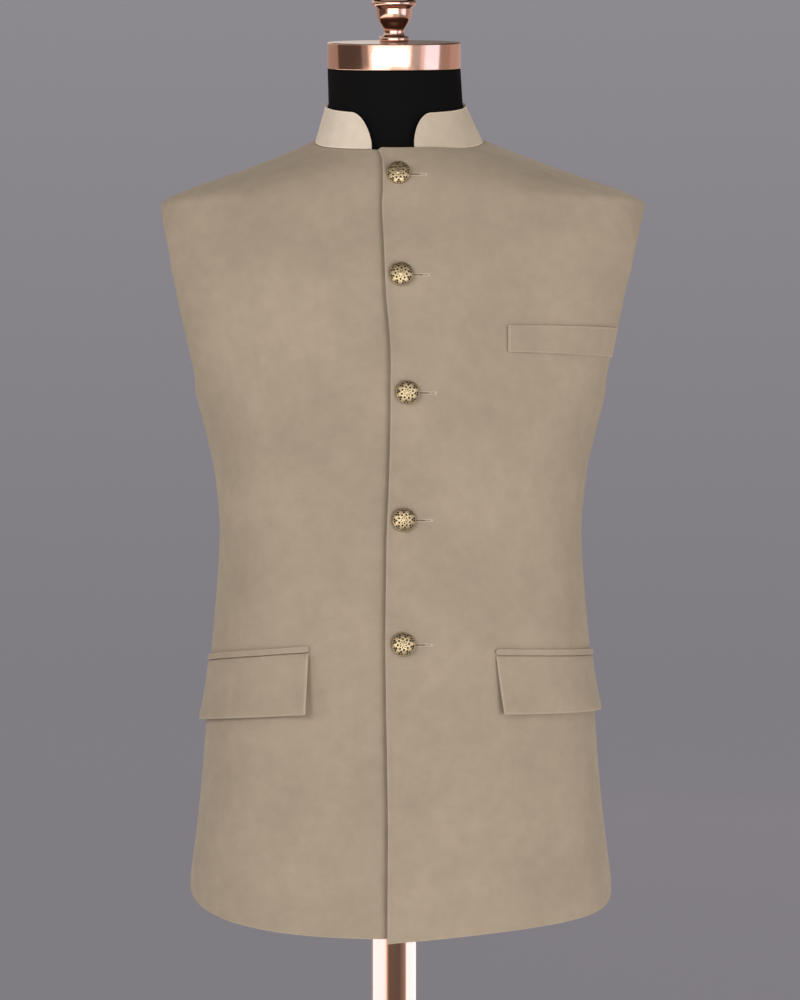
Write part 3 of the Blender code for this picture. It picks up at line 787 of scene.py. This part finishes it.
def thicken(piece, wall, edge_round, cuts=2):
    """Gives a sheet its thickness inwards, and round edges."""
    select_only(piece)
    solid = piece.modifiers.new("wall", "SOLIDIFY")
    solid.thickness = wall
    solid.offset = -1
    solid.use_quality_normals = True
    bevel = piece.modifiers.new("edges", "BEVEL")
    bevel.width = edge_round
    bevel.segments = cuts
    bevel.limit_method = "ANGLE"
    bevel.angle_limit = math.radians(CLOTH_EDGE_ANGLE)
    bpy.ops.object.modifier_apply(modifier=solid.name)
    bpy.ops.object.modifier_apply(modifier=bevel.name)
    smooth(piece, CLOTH_EDGE_ANGLE)


# How uneven the nap is, in patches, smudges and slubs: how often each comes in a
# metre along X, Y and Z, its detail, the range of its noise and the shades of that
Mottle = namedtuple("Mottle", "each_metre detail roughness low high low_shade high_shade")
MOTTLES = table(
    Mottle,
    ((13, 13, 13), 4.0, 0.6, 0.33, 0.67, 0.933, 1.067),
    ((75, 75, 75), 3.0, 0.6, 0.30, 0.70, 0.956, 1.044),
    ((110, 110, 900), 1.0, 0.5, 0.68, 0.82, 1.0, 0.90),
)


def velvet_material(name, colour, sheen, shaded_left_colour=None):
    """Cotton velvet with a short nap, brushed a little unevenly. The optional left colour is
    its look on the wearer's left: painted shade, darker than the lit colour on the right."""
    velvet = new_material(name)
    place = add_node(velvet, "TexCoord")
    # Painted highlight: folded edges are painted lighter, as if their rolled nap caught more light
    painted_edge_highlight = add_node(velvet, "Attribute", {"attribute_name": "painted_edge_highlight"})
    tone = add_node(velvet, "MapRange", {"To Min": 1.0, "To Max": EDGE_HIGHLIGHT_PAINT},
                    {"Value": (painted_edge_highlight, "Fac")})
    for mottle in MOTTLES:
        spread = add_node(velvet, "Mapping", {"Scale": mottle.each_metre},
                          {"Vector": (place, "Object")})
        noise = add_node(velvet, "TexNoise", {
            "Scale": 1.0, "Detail": mottle.detail, "Roughness": mottle.roughness},
            {"Vector": spread})
        mottle_shade = add_node(velvet, "MapRange", {
            "From Min": mottle.low, "From Max": mottle.high,
            "To Min": mottle.low_shade, "To Max": mottle.high_shade}, {"Value": noise})
        tone = add_node(velvet, "Math", {"operation": "MULTIPLY"}, {0: tone, 1: mottle_shade})
    shade = add_node(velvet, "Mix", {
        "data_type": "RGBA", "blend_type": "MULTIPLY", 0: 1.0, 6: linear(colour)},
        {7: tone})
    # Painted light and shade: the colour blends across the front from the lit one on the wearer's
    # right to the shaded one on the left
    if shaded_left_colour:
        place_parts = add_node(velvet, "SeparateXYZ", links={0: (place, "Object")})
        side = add_node(velvet, "MapRange", {
            "From Min": -PAINTED_SHADE_BLEND_WIDTH, "From Max": PAINTED_SHADE_BLEND_WIDTH},
                        {"Value": (place_parts, "X")})
        painted_side_colour = add_node(velvet, "Mix", {
            "data_type": "RGBA", 6: linear(colour), 7: linear(shaded_left_colour)}, {0: side})
        velvet.node_tree.links.new(painted_side_colour.outputs[2], shade.inputs[6])
    nap = add_node(velvet, "TexNoise", {"Scale": 1400.0, "Detail": 2.0},
                   {"Vector": (place, "Object")})
    bump = add_node(velvet, "Bump", {"Strength": 0.35, "Distance": 0.0005}, {"Height": nap})
    add_node(velvet, "BsdfPrincipled", {
        "Roughness": 0.92, "Specular IOR Level": 0.12, "Sheen Weight": sheen,
        "Sheen Roughness": 0.5, "Sheen Tint": linear(VELVET_SHEEN_COLOUR)},
        {"Base Color": (shade, 2), "Normal": bump}, last=True)
    return velvet


def hem_height(hem, share):
    return (hem.start + hem.straight * share + hem.sweep * share ** hem.sweep_power
            + hem.corner * share ** HEM_CORNER_POWER)


def panel_points(name, start_turn, end_turn, lift=None, top_corner=0.0):
    """Rows of points of a body panel, from its hem up. start_turn and end_turn give
    its edges at a level, lift moves it out, and top_corner rounds its front corner."""
    hem = hem_height(HEMS[name], PANEL_SHARES)
    rows = [(HEM_ZONE_TOP, hem + (HEM_ZONE_TOP - hem) * share) for share in HEM_ZONE_SHARES]
    for bottom, top, count in LEVEL_ZONES:
        rows += [(level, level) for level in np.linspace(bottom, top, count, endpoint=False)]
    rows.append((NECK_LEVEL, NECK_LEVEL))
    made = []
    for level, here in rows:
        turns = spaced_turns(lambda turn: body_points(level, turn),
                             start_turn(level), end_turn(level), PANEL_SHARES)
        points = body_points(here, turns)
        from_edge = np.linalg.norm(points - points[0], axis=1)
        if top_corner and level > CORNER_LEVEL:
            drop = top_corner * (1 - np.sqrt(1 - np.clip(1 - from_edge / top_corner, 0, 1) ** 2))
            share = (level - CORNER_LEVEL) / (NECK_LEVEL - CORNER_LEVEL)
            here = level - drop * share ** 2
            points = body_points(here, turns)
        out = crease_lift(points) + HEM_ROLL * np.exp(-((here - hem) / HEM_ROLL_WIDTH) ** 2)
        if lift:
            out = out + lift(here, turns, from_edge)
        made.append(points + body_normals(here, turns) * out[:, None])
    return np.array(made)


def underlap_lift(level, turn, from_edge):
    """The right front is pressed in where the other front's edge lies on it."""
    across = body_points(level, turn)[..., 0] - section_at(level).shift
    away = across - LAP_PRESS_ACROSS
    width = np.where(away < 0, LAP_PRESS_WIDTH, LAP_PRESS_TAIL)
    return -LAP_PRESS_DEPTH * np.exp(-(away / width) ** 2)


velvet = velvet_material("taupe_cotton_velvet", VELVET_COLOUR, VELVET_SHEEN)

right_points = panel_points("right_front", lambda level: turn_at_across(level, UNDERLAP_ACROSS),
                            lambda level: -end_turn(level), underlap_lift)
right_points[:, -1, 1] -= STITCHED_GAP / 2
right_front = grid_piece("right_front_panel", right_points, inside_out=True, highlighted_edges=("bottom",))
thicken(right_front, CLOTH, EDGE_ROUND)
hand_over(right_front, velvet, "velvet", "right_front")

# Left front
# The wearer's left front panel, in the same velvet. It laps over the right one at
# the middle, where its edge is turned in, and it carries the buttonholes.
Edge = namedtuple("Edge", "height across")
OVERLAP_EDGE = in_metres(
    Edge, None,
    (500, -9.7),
    (648, -11.9),
    (770, -13.6),
    (860, -12.7),
    (918, -10.4),
    (972, -9.1),
    (1029, -8.9),
    (1088, -13.3),
    (1136, -16.3),
    (1174, -18.6),
    (1237, -17.2),
)
OVERLAP = Curve(OVERLAP_EDGE, "across")
LAID_GAP = 0.0004
LAP_LIFT = CLOTH + LAID_GAP
LAP_FADE_START = 0.022
LAP_FADE_END = 0.075
LAP_EDGE_ROLL = 0.0019
LAP_EDGE_WIDTH = 0.0050
LAP_ROLL_FADE = 0.03
LAP_ROLL_LEAST = 0.2
LAP_CORNER = 0.0034


def lap_lift(level, turn):
    """How far the left front stands out where it laps over the right one."""
    across = body_points(level, turn)[..., 0] - section_at(level).shift
    t = np.clip((across - LAP_FADE_START) / (LAP_FADE_END - LAP_FADE_START), 0, 1)
    return LAP_LIFT * (1 - t * t * (3 - 2 * t))


def rolled_lap_lift(level, turn, from_edge):
    """The lapped edge is turned in, so it stands a little prouder than the rest."""
    sewn_down = np.clip((NECK_LEVEL - level) / LAP_ROLL_FADE, LAP_ROLL_LEAST, 1)
    roll = LAP_EDGE_ROLL * sewn_down * np.exp(-(from_edge / LAP_EDGE_WIDTH) ** 2)
    return lap_lift(level, turn) + roll


left_points = panel_points("left_front", lambda level: turn_at_across(level, OVERLAP.at(level)),
                           end_turn, rolled_lap_lift, LAP_CORNER)
left_points[:, -1, 1] -= STITCHED_GAP / 2
left_front = grid_piece("left_front_panel", left_points, highlighted_edges=("bottom", "start"))
thicken(left_front, CLOTH, EDGE_ROUND)
hand_over(left_front, velvet, "velvet", "left_front")

# Backs
# Two back panels in the same velvet, joined down the middle of the back and sewn
# to the fronts at the sides and the shoulders.
for side, side_name in ((1, "left"), (-1, "right")):
    back_points = panel_points(f"back_{side_name}", lambda level, s=side: s * math.pi,
                               lambda level, s=side: s * (math.pi - end_turn(level, "back")))
    back_points[:, 0, 0] += side * STITCHED_GAP / 2
    back_points[:, -1, 1] += STITCHED_GAP / 2
    back = grid_piece(f"back_{side_name}_panel", back_points, inside_out=side > 0, highlighted_edges=("bottom",))
    thicken(back, CLOTH, EDGE_ROUND)
    hand_over(back, velvet, "velvet", f"back_{side_name}")

# Collar
# A stiffened stand collar in the same velvet. It is sewn into the neck seam and
# leans in to the neck, and its two front ends are cut round. Its nap runs round
# the neck, so it catches more light than the body does.
# The collar's own lighter tone, with painted light on the wearer's right and painted shade on the
# left
COLLAR_LIT_RIGHT_COLOUR = "DACAB6"
COLLAR_SHADED_LEFT_COLOUR = "C3B29D"
COLLAR_SHEEN = 0.12
COLLAR_WALL = 0.0022
COLLAR_EDGE_ROUND = 0.0009
COLLAR_TOP = Section(1.2710, 0.0660, 0.0685, 0.0665, 2.0, 0.0158, 0.0200, 0.0014)
COLLAR_END_RIGHT = -0.0256
COLLAR_END_LEFT = 0.0148
COLLAR_ROUND = 0.026
COLLAR_END_SHARE = 0.06
COLLAR_END_POWER = 0.6
COLLAR_COLUMNS = 150
COLLAR_END_STEPS = 22
COLLAR_ROWS = 18


def collar_points(turn, up):
    base_points = body_points(NECK_LEVEL, turn) + np.array([0, 0, SEAM_GAP])
    return base_points + (ring_points(COLLAR_TOP, turn) - base_points) * np.asarray(up)[..., None]


collar_start = turn_at_across(NECK_LEVEL, COLLAR_END_LEFT)
collar_end = 2 * math.pi + turn_at_across(NECK_LEVEL, COLLAR_END_RIGHT)
collar_fine = collar_points(np.linspace(collar_start, collar_end, 721), 0.0)
collar_length = float(np.linalg.norm(np.diff(collar_fine, axis=0), axis=1).sum())
end_steps = COLLAR_ROUND * (1 - np.cos(np.linspace(0, math.pi / 2, COLLAR_END_STEPS)))
collar_distances = np.concatenate([
    end_steps, np.linspace(COLLAR_ROUND, collar_length - COLLAR_ROUND, COLLAR_COLUMNS)[1:-1],
    collar_length - end_steps[::-1]])
collar_turns = spaced_turns(lambda turn: collar_points(turn, 0.0), collar_start, collar_end,
                            collar_distances / collar_length)
from_end = np.minimum(collar_distances, collar_length - collar_distances)
rounded = (1 - np.clip(1 - from_end / COLLAR_ROUND, 0, 1) ** 2) ** COLLAR_END_POWER
collar_share = COLLAR_END_SHARE + (1 - COLLAR_END_SHARE) * rounded
collar_grid = np.array([collar_points(collar_turns, collar_share * row / COLLAR_ROWS)
                        for row in range(COLLAR_ROWS + 1)])
collar = grid_piece("collar_band", collar_grid)
thicken(collar, COLLAR_WALL, COLLAR_EDGE_ROUND, 3)

collar_velvet = velvet_material("collar_cotton_velvet", COLLAR_LIT_RIGHT_COLOUR, COLLAR_SHEEN,
                                COLLAR_SHADED_LEFT_COLOUR)
hand_over(collar, collar_velvet, "collar_velvet", "collar")

# Hip pockets
# Each has a square-cornered flap of velvet, turned and pressed, that hangs from
# under a narrow welt sewn over the pocket's mouth. The flap's free edges stand
# a little off the front.
FLAP_WALL = 0.0020
WELT_WALL = 0.0016
POCKET_WELT_WALL = 0.0026
POCKET_WELT_GAP = 0.0007
FLAP_COLUMN = 0.393
FLAP_END_COLUMN = 0.98
POCKET_WELT_HEIGHT = 0.0060
WELT_LENGTH = 0.15
WELT_END_START = 0.0006
WELT_END_ROUND = 0.0030
WELT_FIRST_SHARES = (0, 0.004, 0.010, 0.018)
WELT_ROWS = 6
FLAP_STAND_OFF = 0.0040
FLAP_HELD_SHARE = 0.9
FLAP_CURL_SHARE = 0.22
FLAP_TUCK = 0.0010
FLAP_TUCK_SHARE = 0.05
FLAP_EDGE_ROUND = 0.0008
FLAP_COLUMNS = 60
FLAP_ROWS = 26
Flap = namedtuple("Flap", "side inner_across inner_slant inner_top inner_bottom "
                          "outer_top outer_bottom curl")
FLAPS = in_metres(
    Flap, "side",
    ("left", 86, 5.6, 759, 705.6, 754.8, 703.9, 2.2),
    ("right", 82.8, 0.4, 761.6, 705.6, 748.3, 693.6, 7.5),
)


def shares_between(start, end, count):
    """Shares of the way from a start to the side, up to an end short of it."""
    return (np.linspace(start, end, count + 1) - start) / (1 - start)


def slope(inner_height, outer_height):
    return lambda share: inner_height + (outer_height - inner_height) * share


def laid_points(flap, shares, rows, raise_by, low=None, high=None):
    """Rows of points on a front, moved out from its surface. low and high give the
    heights of its edges at a share of the way to the side, if not the flap's own."""
    low = low or slope(flap.inner_bottom, flap.outer_bottom)
    high = high or slope(flap.inner_top, flap.outer_top)
    side = 1 if flap.side == "left" else -1
    made = []
    for row in range(rows + 1):
        up = row / rows
        points = []
        for share in shares:
            level = low(share) + (high(share) - low(share)) * up
            start = turn_at_across(level, flap.inner_across + flap.inner_slant * (1 - up))
            turn = side * spaced_turns(lambda t: body_points(level, t), start,
                                       end_turn(level), [share])[0]
            point = body_points(level, turn)
            out = crease_lift(point) + (lap_lift(level, turn) if side > 0 else 0)
            points.append(point + body_normals(level, turn) * (out + raise_by(share, up)))
        made.append(points)
    return np.array(made)


def flap_raise(curl, share, up):
    """The flap is held flat at its top and stands off towards its free edges."""
    held = min(max((1 - up) / FLAP_HELD_SHARE, 0), 1)
    curled = curl * math.sqrt(held) * max(1 - share / FLAP_CURL_SHARE, 0) ** 2
    tucked = FLAP_TUCK * max(1 - (1 - up) / FLAP_TUCK_SHARE, 0)
    return LAID_GAP + FLAP_WALL + FLAP_STAND_OFF * held * held + curled - tucked


def welt_narrowing(share):
    """How much lower the welt is at its inner end, which is sewn down round."""
    from_end = share * WELT_LENGTH + WELT_END_START
    rounded = math.sqrt(1 - max(1 - from_end / WELT_END_ROUND, 0) ** 2)
    return POCKET_WELT_HEIGHT / 2 * (1 - rounded)


flap_shares = shares_between(FLAP_COLUMN, FLAP_END_COLUMN, FLAP_COLUMNS)
welt_shares = np.concatenate([WELT_FIRST_SHARES, flap_shares[2:]])
for flap in FLAPS:
    flap_top = slope(flap.inner_top, flap.outer_top)
    piece = grid_piece(f"{flap.side}_flap_piece", laid_points(
        flap, flap_shares, FLAP_ROWS, lambda share, up: flap_raise(flap.curl, share, up)),
        inside_out=flap.side == "right")
    thicken(piece, FLAP_WALL, FLAP_EDGE_ROUND, 3)
    hand_over(piece, velvet, "velvet", f"{flap.side}_flap")

    welt = grid_piece(f"{flap.side}_welt_strip", laid_points(
        flap._replace(inner_slant=0.0), welt_shares, WELT_ROWS,
        lambda share, up: LAID_GAP + POCKET_WELT_WALL,
        lambda share: flap_top(share) + POCKET_WELT_GAP + welt_narrowing(share),
        lambda share: flap_top(share) + POCKET_WELT_HEIGHT - welt_narrowing(share)),
        inside_out=flap.side == "right")
    thicken(welt, POCKET_WELT_WALL, FLAP_EDGE_ROUND, 3)
    hand_over(welt, velvet, "velvet", f"{flap.side}_pocket_welt")

# Breast pocket welt
# A straight strip of doubled velvet over the mouth of the chest pocket. Its lower
# edge is seamed to the front and its ends are sewn down with small stitches.
BREAST_WELT_COLUMN = 0.483
BREAST_WELT_END_COLUMN = 0.993
BREAST_WELT = Flap("left", 0.0967, 0.0, 1.0578, 1.0338, 1.0584, 1.0317, 0.0)
BREAST_COLUMNS = 50
BREAST_ROWS = 14
WELT_OPEN = 0.0012
WELT_FOLD = 0.0004
WELT_OPEN_SHARE = 0.12
WELT_FOLD_SHARE = 0.02
STITCH_SHARE = 0.018
STITCH_RADIUS = 0.00022
STITCH_ROWS = 40
THREAD_COLOUR = "C8B8A2"

breast_shares = shares_between(BREAST_WELT_COLUMN, BREAST_WELT_END_COLUMN, BREAST_COLUMNS)


def breast_raise(share, up):
    """Flat at the seam and the sewn ends, and a little open at the pocket's mouth."""
    from_end = min(share, breast_shares[-1] - share)
    open_share = min(from_end / WELT_OPEN_SHARE, 1.0)
    folded_end = max(1 - share / WELT_FOLD_SHARE, 0)
    return LAID_GAP + WELT_WALL + WELT_OPEN * up ** 2 * open_share + WELT_FOLD * folded_end


breast_welt = grid_piece("breast_welt_strip", laid_points(
    BREAST_WELT, breast_shares, BREAST_ROWS, breast_raise))
thicken(breast_welt, WELT_WALL, EDGE_ROUND, 3)
hand_over(breast_welt, velvet, "velvet", "breast_welt")

# Silk sewing thread, a little lighter than the velvet
thread = new_material("silk_thread")
add_node(thread, "BsdfPrincipled", {
    "Base Color": linear(THREAD_COLOUR), "Roughness": 0.55, "Specular IOR Level": 0.3,
    "Sheen Weight": 0.1}, last=True)


def sewn(name, stitches, radius):
    """Stitches from point to point: copies of one, joined into one piece."""
    bpy.ops.object.select_all(action="DESELECT")
    bpy.ops.mesh.primitive_uv_sphere_add(segments=8, ring_count=6, radius=1)
    first = name_new_piece(name)
    copies = []
    for start, end in stitches:
        start, end = Vector(start), Vector(end)
        copy = add_object(name + "_one", first.data.copy())
        turn = (end - start).to_track_quat("Z", "Y").to_matrix().to_4x4()
        size = Matrix.Diagonal((radius, radius, (end - start).length / 2, 1))
        copy.data.transform(Matrix.Translation((start + end) / 2) @ turn @ size)
        copies.append(copy)
    bpy.data.objects.remove(first, do_unlink=True)
    select_only(*copies)
    bpy.ops.object.join()
    joined = name_new_piece(name)
    smooth(joined, 60)
    return joined


welt_stitches = []
for end_share in (breast_shares[0] + STITCH_SHARE, breast_shares[-1] - STITCH_SHARE):
    column = laid_points(BREAST_WELT, [end_share], STITCH_ROWS, lambda share, up: (
        breast_raise(share, up) + STITCH_RADIUS * 0.3))[:, 0]
    for first in range(1, STITCH_ROWS - 2, 4):
        welt_stitches.append((column[first], column[first + 3]))
breast_stitches = sewn("breast_welt_stitches", welt_stitches, STITCH_RADIUS)
hand_over(breast_stitches, thread, "velvet")

# Buttonholes
# Five keyhole buttonholes worked in silk thread on the left front. Each one's eye
# is under its button, and its bar end shows beyond the button's edge.
HOLE_START = 0.0020
HOLE_LENGTH = 0.0228
HOLE_HALF = 0.0015
HOLE_SLIT = 0.0005
SLIT_LENGTH = 0.0170
HOLE_THREAD_RADIUS = 0.00042
HOLE_STITCH_PITCH = 0.00075
HOLE_DROP = -0.0008
HOLE_BAR_STITCHES = 2
BAR_OUT = 0.0001
SLIT_OUT = 0.00025
SLIT_WALL = 0.0002
SLIT_EDGE_ROUND = 0.00005
SLIT_SHADOW_COLOUR = "7A6857"
Button = namedtuple("Button", "across height tilt_across tilt_up spin")
BUTTONS = table(
    Button,
    (-0.0038, 1.1963, -5.0, 19.0, 5),
    (0.0005, 1.1037, -4.0, 6.0, 17),
    (0.0065, 0.9973, -4.0, 2.0, -8),
    (0.0032, 0.8824, 2.0, 3.0, 3),
    (0.0028, 0.7698, -3.0, 2.0, 29),
)


def place_on_front(across, height):
    """The level and turn of places on the front, from across and height."""
    level = height
    for _ in range(6):
        turn = turn_at_across(level, across)
        level = level + height - body_points(level, turn)[..., 2]
    return level, turn_at_across(level, across)


def on_left_front(across, height, out):
    """A point that stands out from the left front's surface."""
    level, turn = place_on_front(across, height)
    point = body_points(level, turn)
    lift = crease_lift(point) + lap_lift(level, turn) + out
    return Vector(point + body_normals(level, turn) * lift)


# Painted shadow: a dark sheet along each buttonhole's slit, in the colour of the shade inside the
# cut cloth
hole_shadow = new_material("buttonhole_painted_shadow")
add_node(hole_shadow, "BsdfPrincipled", {
    "Base Color": linear(SLIT_SHADOW_COLOUR), "Roughness": 0.95, "Specular IOR Level": 0.05}, last=True)

for number, button in enumerate(BUTTONS, start=1):
    middle = button.height + HOLE_DROP
    start = button.across + HOLE_START
    hole_stitches = [
        (on_left_front(start + along, middle + edge * HOLE_SLIT, 0.0),
         on_left_front(start + along, middle + edge * HOLE_HALF, 0.0))
        for along in np.arange(0, HOLE_LENGTH, HOLE_STITCH_PITCH) for edge in (-1, 1)]
    for step in range(HOLE_BAR_STITCHES):
        across = start + HOLE_LENGTH + HOLE_STITCH_PITCH * step
        hole_stitches.append([on_left_front(across, middle + edge * HOLE_HALF, BAR_OUT)
                              for edge in (-1, 1)])
    hole = sewn(f"buttonhole_{number}", hole_stitches, HOLE_THREAD_RADIUS)
    hand_over(hole, thread, "velvet")
    # Painted shadow: the dark sheet laid along the slit, just off the cloth
    slit = grid_piece(f"buttonhole_painted_shadow_{number}", np.array([[
        on_left_front(start + along, middle + edge * HOLE_SLIT, SLIT_OUT)
        for along in np.linspace(0, SLIT_LENGTH, 13)] for edge in (-1, 1)]))
    thicken(slit, SLIT_WALL, SLIT_EDGE_ROUND, 1)
    hand_over(slit, hole_shadow, "velvet")

# Buttons
# Five domed shank buttons, cast and pierced with a common rosette of small holes,
# in antiqued gold plating rubbed bright on the dome. The holes are shallow pits
# painted dark, as patina and as painted shade for their depth.
BUTTON_RADIUS = 0.01075
BUTTON_SHANK_RADIUS = 0.0030
BUTTON_SHANK = 0.0018
BUTTON_HEIGHT = 0.0062
BUTTON_RIM = 0.0012
BUTTON_UNDERCUT = 0.0006
BUTTON_EDGE = 0.0004
BUTTON_EDGE_ROUND = 0.0001
BUTTON_STEPS = 144
BUTTON_RINGS = 44
BUTTON_COLOUR = "BDAA88"
PATINA_AND_SHADE_COLOUR = "2E2112"
HOLE_DEPTH = 0.00055
BEAD_HEIGHT = 0.00022
SPOT_EDGE = 1.25
SPOT_SLOPE = 1.8

rim_height = BUTTON_SHANK + BUTTON_RIM
button_profile = arc_profile(0, rim_height, BUTTON_RADIUS, BUTTON_HEIGHT - rim_height, 90, 0,
                             BUTTON_RINGS)
button_profile[0] = (0.0, BUTTON_HEIGHT)
button_profile += [(BUTTON_RADIUS - BUTTON_EDGE_ROUND, BUTTON_SHANK + BUTTON_EDGE),
                   (BUTTON_RADIUS - BUTTON_UNDERCUT, BUTTON_SHANK),
                   (BUTTON_SHANK_RADIUS, BUTTON_SHANK), (BUTTON_SHANK_RADIUS, 0.0), (0.0, 0.0)]
button_body = turned_mesh("button_body", button_profile, BUTTON_STEPS)

# Rings of round spots: the ring's share of the radius, its number of spots, half
# the width of each, and how far the ring is turned, in degrees
Spots = namedtuple("Spots", "share count size turned")
PITS = table(
    Spots,
    (0.85, 8, 0.00084, 7.2),
    (0.85, 8, 0.00084, -7.2),
    (0.68, 8, 0.00084, 0),
    (0.48, 8, 0.00080, 22.5),
    (0.26, 8, 0.00045, 0),
)
BEADS = table(
    Spots,
    (0.785, 8, 0.00040, 0),
    (0, 1, 0.00130, 0),
)


def spots(points, rings):
    """How strongly each point is inside one of the round spots."""
    strength = np.zeros(len(points))
    for ring in rings:
        for i in range(ring.count):
            angle = math.radians(ring.turned) + 2 * math.pi * i / ring.count
            middle = BUTTON_RADIUS * ring.share * np.array([math.cos(angle), math.sin(angle)])
            distance = np.linalg.norm(points[:, :2] - middle, axis=1)
            inside = np.clip((SPOT_EDGE - distance / ring.size) * SPOT_SLOPE, 0, 1)
            strength = np.maximum(strength, inside)
    return strength


button_points = read_points(button_body)
on_dome = button_points[:, 2] > rim_height
beads = spots(button_points, BEADS)
pits = np.clip(spots(button_points, PITS) - beads, 0, 1) * on_dome
button_points[:, 2] += on_dome * (BEAD_HEIGHT * beads) - HOLE_DEPTH * pits
set_points(button_body, button_points)
# Patina and painted shade: marks the pits, which the plating paints dark
patina_and_shade = button_body.data.attributes.new("patina_and_shade", "FLOAT", "POINT")
patina_and_shade.data.foreach_set("value", pits.astype(np.float32))
smooth(button_body, 40)

# Antiqued gold plating: the attribute is 1 in the holes, painted dark as patina and as
# painted shade for the depth of the pierced holes
antique_gold = new_material("antique_gold_plating")
patina_and_shade_value = add_node(antique_gold, "Attribute", {"attribute_name": "patina_and_shade"})
wear_place = add_node(antique_gold, "TexCoord")
wear = add_node(antique_gold, "TexNoise", {"Scale": 900.0, "Detail": 2.0},
                {"Vector": (wear_place, "Object")})
wear_range = add_node(antique_gold, "MapRange", {
    "From Min": 0.35, "From Max": 0.75, "To Min": 0.0, "To Max": 0.35}, {"Value": wear})
# Random wear, or the holes' patina and painted shade, whichever is darker
dirt_and_shade = add_node(antique_gold, "Math", {"operation": "MAXIMUM"},
                {0: (patina_and_shade_value, "Fac"), 1: wear_range})
gold_tone = add_node(antique_gold, "Mix", {
    "data_type": "RGBA", 6: linear(BUTTON_COLOUR), 7: linear(PATINA_AND_SHADE_COLOUR)}, {0: dirt_and_shade})
add_node(antique_gold, "BsdfPrincipled", {"Roughness": 0.42, "Metallic": 1.0},
         {"Base Color": (gold_tone, 2)}, last=True)

for number, button in enumerate(BUTTONS, start=1):
    level, turn = place_on_front(button.across, button.height)
    facing = Vector(body_normals(level, turn))
    place = on_left_front(button.across, button.height, LAID_GAP)
    copy = add_object(f"gold_button_{number}", button_body.data.copy())
    tilt = Quaternion((0, 0, 1), math.radians(button.tilt_across)) @ Quaternion(
        (1, 0, 0), math.radians(button.tilt_up))
    turned = facing.to_track_quat("Z", "Y").to_matrix().to_4x4()
    spun = Matrix.Rotation(math.radians(button.spin), 4, "Z")
    copy.data.transform(Matrix.Translation(place) @ tilt.to_matrix().to_4x4() @ turned @ spun)
    hand_over(copy, antique_gold, "antique_gold", f"button_{number}")
bpy.data.objects.remove(button_body, do_unlink=True)
